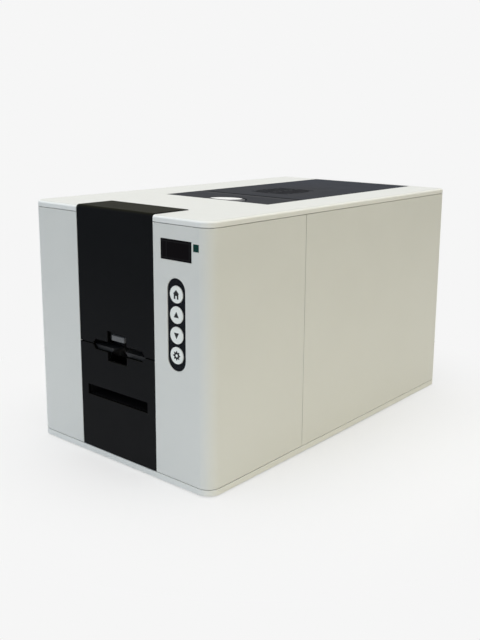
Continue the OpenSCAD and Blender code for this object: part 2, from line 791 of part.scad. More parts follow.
// Round bars that hold the side plates apart; the one behind the head is its pivot
module tie_bars() color("lightgray") {
    back = plate_back - 1.5 * tie_r;
    for (p = [[plate_front + 2 * tie_r, 24], [tower_back + 10, 24], [back, 20],
        [tower_back - tie_r, tower_top - 2 * tie_r], [back, ribbon_top - 2 * tie_r]])
        rod_x(tie_r, bay_l, bay_r, p[0], p[1]);
    rod_x(shaft_r, bay_l, bay_r, pivot_d, pivot_z);
}

// Card hopper: floor with a window for the pick-up roller, walls, back with the gate, flanges to the plates
module card_hopper() color("dimgray") difference() {
    union() {
        slab(bay_l, bay_r, hop_front, hop_back, hopper_z - hop_floor_t, hopper_z);
        for (s = [-1, 1]) {
            inner = strip_x + s * (hop_half + hop_wall / 2);
            slab(inner - hop_wall / 2, inner + hop_wall / 2, hop_front, hop_back,
                hopper_z - 1, hopper_top);
            side = strip_x + s * (hop_half + hop_wall + bay_w / 2) / 2;
            reach = (bay_w / 2 - hop_half - hop_wall) / 2 + 0.5;
            for (d = [26, 60, 94]) intersection() {
                slab(side - reach, side + reach, d, d + 2, hopper_z - 1, hopper_top - 6);
                slab(bay_l, bay_r, 0, body_d, 0, body_h);
            }
        }
        slab(strip_x - hop_half - 1, strip_x + hop_half + 1, hop_back - 2.4, hop_back,
            hopper_z + card_t + 0.5, hopper_top);
        slab(strip_x - hop_half - 1, strip_x + hop_half + 1, hop_front, hop_front + 2, hopper_z - 1,
            hopper_z + 4);
    }
    slab(strip_x - 10, strip_x + 10, pickup_d - 10, pickup_d + 10, hopper_z - 9, hopper_z + 1);
    slab(notch_x - 16, notch_x + 16, hop_front - 1, hop_front + 3, hopper_z + 2, hopper_z + 9);
    rod_x(16, strip_x - card_w, strip_x + card_w, hop_front + 40, hopper_top);
}

// Weight that presses the cards down, lifted by its handle
module card_weight() color("silver") difference() {
    union() {
        slab(strip_x - card_w / 2, strip_x + card_w / 2, hop_front + 3, hop_back - 3.4,
            hopper_z + 0.4, hopper_z + 5);
        slab(strip_x - 2, strip_x + 2, 36, 76, hopper_z + 4, hopper_z + 26);
    }
    rod_x(9, strip_x - 10, strip_x + 10, 56, hopper_z + 15);
}

// Rubber on the drive shafts
module rubber_rings(r, d, z) {
    for (s = [-1, 1]) difference() {
        rod_x(r, strip_x + s * ring_x - ring_w / 2, strip_x + s * ring_x + ring_w / 2, d, z);
        rod_x(shaft_r, strip_x + s * ring_x - ring_w, strip_x + s * ring_x + ring_w, d, z);
    }
}

module pickup_roller() color([0.25, 0.25, 0.25]) difference() {
    rod_x(pickup_r, strip_x - 8, strip_x + 8, pickup_d, pickup_z);
    rod_x(shaft_r, strip_x - 9, strip_x + 9, pickup_d, pickup_z);
}

module pickup_shaft() color("silver") {
    rod_x(shaft_r, feed_gear_x - 1, plate_r + flange_t + 2, pickup_d, pickup_z);
    gear_x_axis(feed_teeth, feed_m, feed_gear_x, feed_gear_x + gear_t, pickup_d, pickup_z,
        feed_line + 180 + 180 / feed_teeth);
}

module mouth_roller() color([0.2, 0.2, 0.2]) rubber_rings(roller_r, mouth_roller_d, shaft_z);
module feed_roller() color([0.2, 0.2, 0.2]) rubber_rings(roller_r, feed_roller_d, shaft_z);
module head_roller() color([0.2, 0.2, 0.2]) rubber_rings(roller_r, head_roller_d, shaft_z);

module platen_roller() color([0.15, 0.15, 0.15]) difference() {
    rod_x(roller_r, strip_x - 30, strip_x + 30, platen_d, shaft_z);
    rod_x(shaft_r, strip_x - 31, strip_x + 31, platen_d, shaft_z);
}

// Steel shaft with the belt pulley pressed on beside the right plate
module pulley_shaft(d, left = 0) {
    rod_x(shaft_r, left ? left : plate_l - flange_t - 2, pulley_x + pulley_len + 0.5, d, shaft_z);
    rod_x(pulley_r, pulley_x, pulley_x + pulley_len, d, shaft_z);
    for (x = [pulley_x, pulley_x + pulley_len - rim_t])
        rod_x(pulley_r + rim_rise, x, x + rim_t, d, shaft_z);
}

module mouth_shaft() color("silver") pulley_shaft(mouth_roller_d);
module platen_shaft() color("silver") pulley_shaft(platen_d);

module feed_shaft() color("silver") {
    pulley_shaft(feed_roller_d, feed_gear_x - 1);
    gear_x_axis(feed_teeth, feed_m, feed_gear_x, feed_gear_x + gear_t, feed_roller_d, shaft_z, feed_line);
}

module head_shaft() color("silver") {
    pulley_shaft(head_roller_d);
    rod_x(shaft_r, pulley_x, gear_x + gear_t + 2, head_roller_d, shaft_z);
}

// Rollers that press on the card from above
module pinch_roller(d, r) {
    rod_x(pinch_axle_r, plate_l - axle_out, plate_r + axle_out, d, pinch_z);
    half = ring_w / 2 + 1;
    for (x = [strip_x - ring_x, strip_x + ring_x]) rod_x(r, x - half, x + half, d, pinch_z);
}

module mouth_pinch_roller() color("lightgray") pinch_roller(mouth_roller_d, pinch_r);
module feed_pinch_roller() color("lightgray") pinch_roller(feed_roller_d, pinch_r);

module cleaning_roller() color("steelblue") {
    rod_x(pinch_axle_r, plate_l - axle_out, plate_r + axle_out, head_roller_d, pinch_z);
    rod_x(pinch_r, strip_x - 30, strip_x + 30, head_roller_d, pinch_z);
}

// Flanged bushes that carry the shafts in both plates
module shaft_bushes() color("goldenrod") {
    for (p = [[mouth_roller_d, shaft_z], [feed_roller_d, shaft_z], [head_roller_d, shaft_z],
        [platen_d, shaft_z], [pickup_d, pickup_z]], side = [0, 1]) difference() {
        union() {
            rod_x(bush_r, side ? bay_r : plate_l, side ? plate_r : bay_l, p[0], p[1]);
            rod_x(bush_r + 1.5, side ? plate_r : plate_l - flange_t, side ? plate_r + flange_t : plate_l,
                p[0], p[1]);
        }
        rod_x(shaft_r + run_gap, plate_l - 5, plate_r + 5, p[0], p[1]);
    }
}

// Belt round the four pulleys
module belt_outline(r) {
    translate([mouth_roller_d, shaft_z - r]) square([platen_d - mouth_roller_d, 2 * r]);
    for (d = [mouth_roller_d, platen_d]) translate([d, shaft_z]) circle(r);
}

module drive_belt() color([0.12, 0.12, 0.12])
    side_view(pulley_x + rim_t + 0.3, pulley_x + rim_t + 0.3 + belt_w) difference() {
        belt_outline(pulley_r + belt_gap + belt_t);
        belt_outline(pulley_r + belt_gap);
    }

// Large gear on the head roller's shaft, with round windows in its web
module reduction_gear() color("ivory") difference() {
    gear_x_axis(big_teeth, drive_m, gear_x, gear_x + gear_t, head_roller_d, shaft_z, 90);
    rod_x(shaft_r, gear_x - 1, gear_x + gear_t + 1, head_roller_d, shaft_z);
    for (a = [0:60:300]) rod_x(4.5, gear_x - 1, gear_x + gear_t + 1,
        head_roller_d + 14 * cos(a), shaft_z + 14 * sin(a));
}

module motor_pinion() color("silver") {
    rod_x(motor_shaft_r, bay_r - 8, gear_x + gear_t + 1, head_roller_d, motor_z);
    gear_x_axis(small_teeth, drive_m, gear_x, gear_x + gear_t, head_roller_d, motor_z,
        90 + 180 / small_teeth);
}

// Stepper motor on the inner face of the right plate
module drive_motor() color([0.2, 0.2, 0.22]) difference() {
    union() {
        half = motor_s / 2;
        slab(bay_r - motor_len, bay_r, head_roller_d - half, head_roller_d + half,
            motor_z - half, motor_z + half);
        rod_x(motor_nose_r, bay_r - 1, plate_r, head_roller_d, motor_z);
    }
    rod_x(motor_shaft_r + run_gap, bay_r - 10, plate_r + 1, head_roller_d, motor_z);
    for (sy = [-1, 1], sz = [-1, 1]) rod_x(3.5, bay_r - motor_len - 1, bay_r - 8,
        head_roller_d + sy * motor_s / 2, motor_z + sz * motor_s / 2);
}

// Channel plates that carry the card from roller to roller, and the ramp down from the hopper
module guide_plate(d0, d1) {
    slab(bay_l, bay_r, d0, d1, guide_z - guide_t, guide_z);
    for (d = [d0, d1 - guide_t]) slab(bay_l, bay_r, d, d + guide_t, guide_z - guide_lip, guide_z);
}

module card_guides() color("gray") {
    guide_plate(mouth_roller_d + 9, feed_roller_d - 9);
    guide_plate(flap_d + 20, head_roller_d - 9);
    guide_plate(head_roller_d + 9, platen_d - 9);
    guide_plate(platen_d + 9, plate_back - 2);
    side_view(bay_l, bay_r) polygon([
        [hop_back + 1, hopper_z], [hop_back + 3, hopper_z], [head_roller_d - 24, split_z + 2.6],
        [head_roller_d - 12, split_z + 2.6], [head_roller_d - 12, split_z + 1.2],
        [head_roller_d - 25, split_z + 1.2], [hop_back + 1, hopper_z - 2],
    ]);
    for (s = [-1, 1]) front_view(strip_t + gap, mouth_roller_d - 8) translate([notch_x, split_z])
        polygon([[s * lip_half, -1.2], [s * (lip_half + 3), -mouth_h / 2], [s * lip_end, -mouth_h / 2],
            [s * lip_end, -1.2]]);
    for (s = [-1, 1]) {
        x = s > 0 ? mouth_x + mouth_w / 2 - 1 : bay_l;
        slab(x, s > 0 ? bay_r : mouth_x - mouth_w / 2 + 1, plate_front, mouth_roller_d - 8,
            split_z - mouth_h / 2, split_z - 1.2);
    }
}

// Chute from the diverter down to the exit slot
module chute_view(grow) {
    low = slot_z - grow;
    high = slot_z + slot_h + grow;
    polygon([
        [strip_t + 0.3, low], [chute_turn + 4 + grow * 0.4, low], [chute_top_d + grow, guide_z - 10],
        [chute_top_d + grow, guide_z - 3], [flap_d + 3 - grow, guide_z - 10],
        [chute_turn - grow * 0.4, high], [strip_t + 0.3, high],
    ]);
}

module exit_chute() color([0.16, 0.16, 0.17]) difference() {
    side_view(slot_x - slot_w / 2 - chute_t, slot_x + slot_w / 2 + chute_t) chute_view(chute_t);
    side_view(slot_x - slot_w / 2, slot_x + slot_w / 2) chute_view(0);
}

// Diverter that rises behind its axle to send a card down the chute
module exit_flap() color("gray") {
    rod_x(flap_axle_r, plate_l - axle_out, plate_r + axle_out, flap_d, flap_z);
    side_view(strip_x - 26, strip_x + 26) polygon([
        [flap_d - 2, flap_z + 1.5], [flap_d - 1, flap_z + 3], [flap_d + 16, flap_z + 3.2],
        [flap_d + 17, flap_z + 2.6], [flap_d + 3, flap_z - 0.5],
    ]);
}

// Thermal head: ceramic strip under an aluminium block with cooling fins
module print_head() color("silver") {
    l = strip_x - head_half;
    r = strip_x + head_half;
    slab(l + 1, r - 1, head_d0 + 3, head_d1 - 3, head_z, head_z + 2.1);
    slab(l, r, head_d0, head_d1, head_z + 2, head_z + 8);
    for (d = [head_d0:3:head_d1 - 2]) slab(l, r, d, d + 1.4, head_z + 7.9, head_z + 16);
}

// Bracket: a bridge over the head, two arms to the pivot and a nose that the cam lifts
module arm_view(nose) difference() {
    union() {
        translate([head_d0, head_z + 2]) square([head_d1 - head_d0, arm_under + 4.5 - head_z - 2]);
        polygon([[head_d1 - 1, pivot_z - 6], [pivot_d, pivot_z - 5], [pivot_d, pivot_z + 5],
            [head_d1 - 1, head_z + 24]]);
        translate([pivot_d, pivot_z]) circle(6);
        if (nose) translate([cam_d - 9, arm_under]) square([head_d0 - cam_d + 10, 4.5]);
    }
    translate([pivot_d, pivot_z]) circle(shaft_r + run_gap);
}

module head_bracket() color("slategray") {
    side_view(strip_x - arm_x - arm_t, strip_x - arm_x) arm_view(false);
    side_view(strip_x + arm_x, strip_x + arm_x + arm_t) arm_view(true);
    slab(strip_x - arm_x - 0.1, strip_x + arm_x + 0.1, head_d0, head_d1, head_z + 16, head_z + 19);
    for (x = [-arm_x - 0.1, head_half]) slab(strip_x + x, strip_x + x + arm_x - head_half + 0.1,
        head_d0, head_d1, head_z + 2, head_z + 19);
}

// Round cam off its shaft's centre, with the shaft into its motor
module lift_cam() color("ivory") {
    rod_x(cam_r, strip_x + arm_x, strip_x + arm_x + arm_t, cam_d, cam_z - cam_off);
    rod_x(shaft_r, strip_x + arm_x + arm_t - 0.1, plate_r + 8, cam_d, cam_z);
}

// Small gear motor with a face flange, on the outer face of the right plate
module can_motor(d, z, r, bore) difference() {
    union() {
        slab(plate_r, plate_r + 2, d - r - 5, d + r + 5, z - 7, z + 7);
        rod_x(r, plate_r, plate_r + 26, d, z);
        rod_x(r * 0.4, plate_r + 25, plate_r + 29, d, z);
    }
    rod_x(bore, plate_r - 1, plate_r + 9, d, z);
}

// One motor turns the lifting cam and one the take-up spool
module gear_motors() color("silver") {
    can_motor(cam_d, cam_z, 10, shaft_r + run_gap);
    can_motor(takeup_d, spool_z, 13, journal_r + run_gap);
}

// Ribbon spools: a core with end flanges and journals in the side plates, and the wound film
module spool_core(d, right_end) {
    rod_x(journal_r, plate_l - 2, right_end, d, spool_z);
    rod_x(core_r, bay_l + 1, bay_r - 1, d, spool_z);
    for (x = [bay_l + 1, bay_r - 3]) rod_x(core_r + 3, x, x + 2, d, spool_z);
}

module film_roll(d, r) difference() {
    rod_x(r, strip_x - film_w / 2, strip_x + film_w / 2, d, spool_z);
    rod_x(core_r, strip_x - film_w / 2 - 1, strip_x + film_w / 2 + 1, d, spool_z);
}

module supply_core() color("white") spool_core(supply_d, plate_r + 2);
module takeup_core() color("white") spool_core(takeup_d, plate_r + 8);
module supply_film() color([0.15, 0.35, 0.4]) film_roll(supply_d, supply_r);
module takeup_film() color([0.3, 0.15, 0.3]) film_roll(takeup_d, takeup_r);

// Film between the spools, under the head
module film_run(from, to) {
    translate(from) rotate(atan2(to[1] - from[1], to[0] - from[0])) square([norm(to - from), film_t]);
}

module ribbon_web() color([0.2, 0.25, 0.3]) {
    // Each sloping run starts at the point where the film leaves its roll
    low_l = [platen_d - 10, film_z];
    low_r = [platen_d + 9, film_z];
    start_l = tangent_point([supply_d, spool_z], supply_r + 0.3, low_l, 1);
    start_r = tangent_point([takeup_d, spool_z], takeup_r + 0.3 + film_t, low_r, -1);
    side_view(strip_x - film_w / 2, strip_x + film_w / 2) {
        film_run(low_l, low_r);
        film_run(start_l, low_l);
        film_run(low_r, start_r);
    }
}

// Point on a circle whose tangent passes through a given point, on the chosen side
function tangent_point(centre, r, p, side) =
    let (v = p - centre, length = norm(v), spread = acos(r / length), along = atan2(v[1], v[0]))
    centre + r * [cos(along + side * spread), sin(along + side * spread)];

// Main board on posts beside the left plate, with its parts and the two sockets at the rear
module main_board() color("seagreen") difference() {
    union() {
        slab(board_x - board_t, board_x, board_front, body_d - wall - 1, board_low, board_high);
        for (d = [board_front + 10, plate_back - 8], z = [board_low + 6, board_high - 6])
            rod_x(3, board_x - 0.1, plate_l, d, z);
        board_block(4.5, board_front + 28, board_front + 58, 120, 150);
        board_block(2.5, board_front + 88, board_front + 106, 130, 148);
        board_block(12.5, board_front + 18, board_front + 24, 82, 112);
        for (d = [50, 64, 78]) rod_x(5, board_x - 16, board_x - 1.5, board_front + d, 96);
        port_body(usb_z, usb_w, usb_h, port_deep);
        port_body(lan_z, lan_w, lan_h, port_deep + 2);
    }
    port_hole(usb_z, 8.4, 7.8, 9);
    port_hole(lan_z, 11.8, 9, 13);
}

// A part that stands out from the board's outer face
module board_block(height, d0, d1, z0, z1) {
    slab(board_x - board_t - height, board_x - board_t + 0.1, d0, d1, z0, z1);
}

// A socket's body, which reaches through the rear wall and is carried by the board
module port_body(z, w, h, deep) {
    slab(port_x - w / 2, port_x + w / 2, body_d - deep, body_d - 0.6, z - h / 2, z + h / 2);
    slab(port_x - w / 2, board_x - 1.5, body_d - deep, body_d - wall - 0.3, z - h / 2, z + h / 2);
}

module port_hole(z, w, h, deep) {
    slab(port_x - w / 2, port_x + w / 2, body_d - deep, body_d, z - h / 2, z + h / 2);
}

// Power supply in a folded metal case with louvres in its top and front
module power_supply() color("silver") difference() {
    slab(supply_l, supply_r_end, supply_front, supply_back, floor_z, supply_top);
    for (x = [supply_l + 6:8:supply_r_end - 9]) slab(x, x + 3, supply_front + 6, supply_back - 6,
        supply_top - 3, supply_top + 1);
    for (x = [supply_l + 6:14:supply_r_end - 14]) slab(x, x + 8, supply_front - 1, supply_front + 1,
        floor_z + 10, supply_top - 6);
}

// Mains inlet and switch housing, one moulding behind the rear wall
module power_inlet() color([0.1, 0.1, 0.1]) {
    difference() {
        union() {
            slab(inlet_x - inlet_w / 2, inlet_x + inlet_w / 2, body_d - inlet_deep, body_d - 0.2,
                inlet_z - inlet_h / 2, inlet_z + inlet_h / 2);
            slab(inlet_x - switch_w / 2, inlet_x + switch_w / 2, body_d - inlet_deep, body_d - 0.2,
                rocker_z - switch_h / 2, rocker_z + switch_h / 2);
            slab(inlet_x - inlet_w / 2 - 4, inlet_x + inlet_w / 2 + 4, body_d - wall - 2.4,
                body_d - wall - 0.2, inlet_z - inlet_h / 2 - 3, rocker_z + switch_h / 2 + 3);
        }
        slab(inlet_x - inlet_w / 2 + inlet_wall, inlet_x + inlet_w / 2 - inlet_wall, body_d - 18, body_d,
            inlet_z - inlet_h / 2 + inlet_wall, inlet_z + inlet_h / 2 - inlet_wall);
        slab(inlet_x - rocker_w / 2 - gap, inlet_x + rocker_w / 2 + gap, body_d - 18, body_d,
            rocker_z - rocker_h / 2 - 2, rocker_z + rocker_h / 2 + 2);
        rod_x(pin_r + run_gap, inlet_x - rocker_w / 2 - 2, inlet_x + rocker_w / 2 + 2,
            rocker_pin_d, rocker_z);
    }
    for (p = [[-7, -2], [7, -2], [0, 2.4]]) slab(inlet_x + p[0] - 1, inlet_x + p[0] + 1, body_d - 18.5,
        body_d - 6, inlet_z + p[1] - 2.5, inlet_z + p[1] + 2.5);
}

module power_rocker() color([0.15, 0.15, 0.15]) {
    translate([0, fy(rocker_pin_d), rocker_z]) rotate([-rocker_lean, 0, 0])
        translate([0, -fy(rocker_pin_d), -rocker_z]) side_view(inlet_x - rocker_w / 2, inlet_x + rocker_w / 2)
            translate([rocker_pin_d, rocker_z]) polygon([
                [-6, -6], [4, -rocker_h / 2], [2.4, 0], [4, rocker_h / 2], [-6, 6]]);
    rod_x(pin_r, inlet_x - rocker_w / 2 - 1.6, inlet_x + rocker_w / 2 + 1.6, rocker_pin_d, rocker_z);
}

// Axial fan: the frame is fixed to the rear wall, the rotor turns in it
module cooling_fan() color([0.1, 0.1, 0.1]) {
    half = fan_s / 2;
    hole = half - 5;
    difference() {
        slab(fan_x - half, fan_x + half, fan_back - fan_t, fan_back, fan_z - half, fan_z + half);
        rod_y(half - 1.5, fan_x, fan_back - fan_t - 1, fan_back + 1, fan_z);
        for (sx = [-1, 1], sz = [-1, 1]) rod_y(2.1, fan_x + sx * hole, fan_back - fan_t - 1, fan_back + 1,
            fan_z + sz * hole);
    }
    rod_y(12, fan_x, fan_back - 3, fan_back, fan_z);
    for (a = [45:90:315]) translate([fan_x, fy(fan_back), fan_z]) rotate([90, 0, 0]) rotate(a)
        translate([10, -1.5, 0]) cube([fan_s / 2 - 11, 3, 2.6]);
}

// Rotor: a hub with seven raked blades
module fan_rotor() color([0.15, 0.15, 0.15]) {
    rod_y(11.5, fan_x, fan_back - fan_t + 1, fan_back - 3.6, fan_z);
    for (i = [0:6]) translate([fan_x, fy(fan_back - fan_t / 2 - 1), fan_z]) rotate([0, i * 360 / 7, 0])
        rotate([0, 0, 38]) translate([-0.7, -4.6, 9]) cube([1.4, 9.2, fan_s / 2 - 12.5]);
}

// Screws of the rear shell and of the chassis
module case_screws() color("darkgray") {
    rear_screws() {
        rod_y(screw_head_r, 0, body_d - 1.4, body_d - 0.2, 0);
        rod_y(screw_r, 0, body_d - 7, body_d - 1.3, 0);
    }
    screw_places_base() {
        translate([0, 0, foot_proud + 0.2]) cylinder(r = screw_head_r, h = 1);
        translate([0, 0, foot_proud + 1]) cylinder(r = screw_r, h = floor_z + sheet_t + 2 - foot_proud);
    }
}

base_tray();
rubber_feet();
front_shell();
rear_shell();
top_cover();
lower_panel();
feeder_door();
door_latch();
top_door();
hinge_pins();
display_window();
status_light();
keypad_bezel();
home_key();
up_key();
down_key();
setup_key();
panel_board();
left_side_plate();
right_side_plate();
tie_bars();
card_hopper();
card_weight();
pickup_roller();
pickup_shaft();
mouth_roller();
mouth_shaft();
feed_roller();
feed_shaft();
head_roller();
head_shaft();
platen_roller();
platen_shaft();
mouth_pinch_roller();
feed_pinch_roller();
cleaning_roller();
shaft_bushes();
drive_belt();
reduction_gear();
motor_pinion();
drive_motor();
card_guides();
exit_chute();
exit_flap();
print_head();
head_bracket();
lift_cam();
gear_motors();
supply_core();
supply_film();
takeup_core();
takeup_film();
ribbon_web();
main_board();
power_supply();
power_inlet();
power_rocker();
cooling_fan();
fan_rotor();
case_screws();
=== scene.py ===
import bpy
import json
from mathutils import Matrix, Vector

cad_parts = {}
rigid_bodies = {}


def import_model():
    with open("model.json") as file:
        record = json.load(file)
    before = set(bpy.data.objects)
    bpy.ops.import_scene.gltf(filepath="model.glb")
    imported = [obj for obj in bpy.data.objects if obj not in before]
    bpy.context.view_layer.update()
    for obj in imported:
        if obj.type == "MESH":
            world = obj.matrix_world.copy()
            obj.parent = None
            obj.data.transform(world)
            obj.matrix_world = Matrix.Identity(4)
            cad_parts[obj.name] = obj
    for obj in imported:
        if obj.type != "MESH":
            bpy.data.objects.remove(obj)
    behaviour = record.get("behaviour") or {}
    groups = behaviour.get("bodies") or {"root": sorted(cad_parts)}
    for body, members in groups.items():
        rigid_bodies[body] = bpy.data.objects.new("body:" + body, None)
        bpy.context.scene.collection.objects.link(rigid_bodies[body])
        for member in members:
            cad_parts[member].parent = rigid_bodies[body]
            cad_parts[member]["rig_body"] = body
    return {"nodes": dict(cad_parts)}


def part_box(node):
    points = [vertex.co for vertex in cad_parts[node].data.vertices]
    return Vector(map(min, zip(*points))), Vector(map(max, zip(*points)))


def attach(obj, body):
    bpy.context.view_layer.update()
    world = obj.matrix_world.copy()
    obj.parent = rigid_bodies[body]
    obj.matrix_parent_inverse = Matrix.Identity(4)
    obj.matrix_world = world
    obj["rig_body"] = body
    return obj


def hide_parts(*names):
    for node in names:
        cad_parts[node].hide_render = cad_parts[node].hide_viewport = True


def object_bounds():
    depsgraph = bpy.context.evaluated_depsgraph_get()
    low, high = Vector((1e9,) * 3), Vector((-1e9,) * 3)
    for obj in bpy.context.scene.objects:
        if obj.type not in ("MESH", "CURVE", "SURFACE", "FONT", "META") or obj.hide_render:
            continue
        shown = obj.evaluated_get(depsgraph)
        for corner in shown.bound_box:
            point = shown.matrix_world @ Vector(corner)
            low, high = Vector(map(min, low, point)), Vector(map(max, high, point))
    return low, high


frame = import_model()
cad_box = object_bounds()
nodes = frame["nodes"]
print("nodes", len(nodes), "box", [round(v, 4) for corner in cad_box for v in corner])

# %% [markdown]
# ## Units and tools
# Blender works in metres and the printer was drawn in millimetres, so one factor turns one into the
# other. Places could be typed in, but then a piece would float as soon as the model changes. They
# are read from the model's own boxes instead, so that every added piece stays on what carries it.
# %% Tools
import json
import math

import bmesh
import bpy
from mathutils import Matrix, Vector

MM = 0.001
scene = bpy.context.scene
lowest, highest = cad_box
front_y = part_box("front_shell")[0].y
door_low, door_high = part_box("feeder_door")
door_x = (door_low.x + door_high.x) / 2
top_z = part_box("top_cover")[1].z
print("height in mm", round((highest.z - lowest.z) / MM, 1), "front face at", round(front_y, 4))

# %% [markdown]
# ## Shader sums as plain Python
# A material's look is a sum of small patterns: grain, mottling, dust, fine scratches. Wiring Math
# nodes by hand hides that sum. A small class that wraps a socket and overloads the operators lets
# the sum be written as an expression, such as `0.4 + 0.1 * grain`, and adds the Math nodes by
# itself.
# %% A socket that does sums
class Wire:
    """An output socket. Sums with other sockets or numbers add Math nodes to its tree."""

    def __init__(self, tree, socket):
        self.tree = tree
        self.socket = socket

    def sum_node(self, operation, first, second):
        return self.tree.node("Math", {"operation": operation}, {0: first, 1: second})

    def __add__(self, other):
        return self.sum_node("ADD", self, other)

    def __sub__(self, other):
        return self.sum_node("SUBTRACT", self, other)

    def __mul__(self, other):
        return self.sum_node("MULTIPLY", self, other)

    def __rsub__(self, other):
        return self.sum_node("SUBTRACT", other, self)

    def __gt__(self, other):
        return self.sum_node("GREATER_THAN", self, other)

    def __lt__(self, other):
        return self.sum_node("LESS_THAN", self, other)

    __radd__ = __add__
    __rmul__ = __mul__

    def clamped(self):
        return self.tree.node("Clamp", {}, {"Value": self})

    def axis(self, letter):
        return self.tree.node("SeparateXYZ", {}, {"Vector": self}, letter)

    def stretched(self, x, y, z):
        return self.tree.node("VectorMath", {"operation": "MULTIPLY"}, {0: self, 1: (x, y, z)})


print("sums ready")

# %% [markdown]
# Every other node comes from one method: it takes the node's type, the settings that have to be
# made first, such as a ramp's stops, and the numbers or wires for its sockets. Materials and the
# world share it. One more thing serves both: whether a ray comes from the camera, from a mirror or
# through glass.
# %% One method for all nodes
class Tree:
    """The nodes of a material or of the world."""

    def __init__(self, node_tree):
        self.nodes = node_tree.nodes
        self.links = node_tree.links

    def node(self, kind, settings, values, output=0):
        made = self.nodes.new("ShaderNode" + kind)
        for name, setting in settings.items():
            if name == "stops":
                ramp = made.color_ramp
                ramp.interpolation = "CONSTANT"
                while len(ramp.elements) < len(setting):
                    ramp.elements.new(1.0)
                for stop, (position, colour) in zip(ramp.elements, setting):
                    stop.position = position
                    stop.color = (*colour, 1.0)
            else:
                setattr(made, name, setting)
        for name, value in values.items():
            self.feed(made.inputs[name], value)
        return Wire(self, made.outputs[output])

    def feed(self, socket, value):
        if isinstance(value, Wire):
            self.links.new(value.socket, socket)
        else:
            socket.default_value = value

    def viewed(self):
        """One for what the camera sees, also in a mirror or through glass, and zero for light."""
        kinds = ("Is Camera Ray", "Is Glossy Ray", "Is Transmission Ray")
        seen, mirrored, through = [self.node("LightPath", {}, {}, kind) for kind in kinds]
        return (seen + mirrored + through).clamped()


print("nodes ready")

# %% [markdown]
# Patterns and masks depend on the place on the piece. They use object coordinates, which stay with
# a piece when it moves, so that grain never slides over a door that opens. The masks tell places on
# a part apart in millimetres, counted as in the drawing. Painting several materials by face would
# need faces that end where a finish ends, which a CAD mesh doesn't have; a mask needs none.
# %% Patterns and masks by place
class Patterns(Tree):
    """Nodes for patterns and masks that depend on the place on the piece."""

    def __init__(self, node_tree):
        super().__init__(node_tree)
        self.place = self.node("TexCoord", {}, {}, "Object")

    def upward(self):
        """How far a face looks up, from minus one to one."""
        return self.node("NewGeometry", {}, {}, "Normal").axis("Z")

    def noise(self, size, detail=2.0, rough=0.5, place=None):
        """Noise between 0 and 1 with spots of about this size in metres."""
        values = {"Vector": place or self.place, "Scale": 1 / size}
        return self.node("TexNoise", {}, {**values, "Detail": detail, "Roughness": rough})

    def cells(self, size, output="Distance"):
        """Cells of about this size: the distance from their middles, or a colour for each."""
        return self.node("TexVoronoi", {}, {"Vector": self.place, "Scale": 1 / size}, output)

    def within(self, x=None, d=None, z=None):
        """One inside a range of places in millimetres, with d counted back from the front face."""
        inside = 1.0
        for letter, limits, start in (("X", x, 0), ("Y", d, front_y), ("Z", z, 0)):
            if limits:
                along = self.place.axis(letter)
                low, high = (start + limit * MM for limit in limits)
                inside = (along > low) * (along < high) * inside
        return inside

    def oval(self, x, d, across, along):
        """One inside an upright oval post round a place in millimetres, with d as above."""
        sideways = (self.place.axis("X") - x * MM) * (1 / (across * MM))
        back = (self.place.axis("Y") - (front_y + d * MM)) * (1 / (along * MM))
        return (sideways * sideways + back * back) < 1.0

    def rings(self, d, z, pitch):
        """Waves round a shaft's axis, which runs along X. At scale 0.31 they are a metre apart."""
        shift = (0.0, -(front_y + d * MM), -z * MM)
        centred = self.node("VectorMath", {"operation": "ADD"}, {0: self.place, 1: shift})
        settings = {"wave_type": "RINGS", "rings_direction": "X"}
        values = {"Vector": centred, "Scale": 0.31 / pitch, "Distortion": 0.0}
        return self.node("TexWave", settings, values, "Fac")


print("patterns ready")

# %% [markdown]
# A paint is one material. Plastic, metal and rubber could each have a shader of their own, but the
# Principled shader covers them all with other values. Masks mix its base colour towards other
# colours, and bumps can be laid one over another.
# %% A material that is built by expressions
class Paint(Patterns):
    """A material with one Principled shader, whose patterns are written as sums of wires."""

    def __init__(self, name, colour, rough=0.5, metallic=0.0, specular=0.5, coat=0.0):
        self.material = bpy.data.materials.new(name)
        self.material.use_nodes = True
        super().__init__(self.material.node_tree)
        self.shader = self.nodes["Principled BSDF"]
        self.output = self.nodes["Material Output"]
        self.colour = (*colour, 1.0)
        self.set("Base Color", self.colour)
        self.set("Roughness", rough)
        self.set("Metallic", metallic)
        self.set("Specular IOR Level", specular)
        self.set("Coat Weight", coat)

    def set(self, name, value):
        self.feed(self.shader.inputs[name], value)

    def now(self, name):
        """The wire that a socket of the shader is fed from so far."""
        return Wire(self, self.shader.inputs[name].links[0].from_socket)

    def tint(self, amount, colour, other=None):
        """The base colour, or another one, mixed towards a colour."""
        start = other or self.colour
        target = colour if isinstance(colour, Wire) else (*colour, 1.0)
        return self.node("Mix", {"data_type": "RGBA"}, {0: amount, 6: start, 7: target}, 2)

    def bump(self, height, depth, under=None):
        """Bumps of this depth in metres, laid over an earlier bump if there is one."""
        values = {"Height": height, "Distance": depth, "Strength": 1.0}
        if under:
            values["Normal"] = under
        return self.node("Bump", {}, values)


print("paint tools ready")

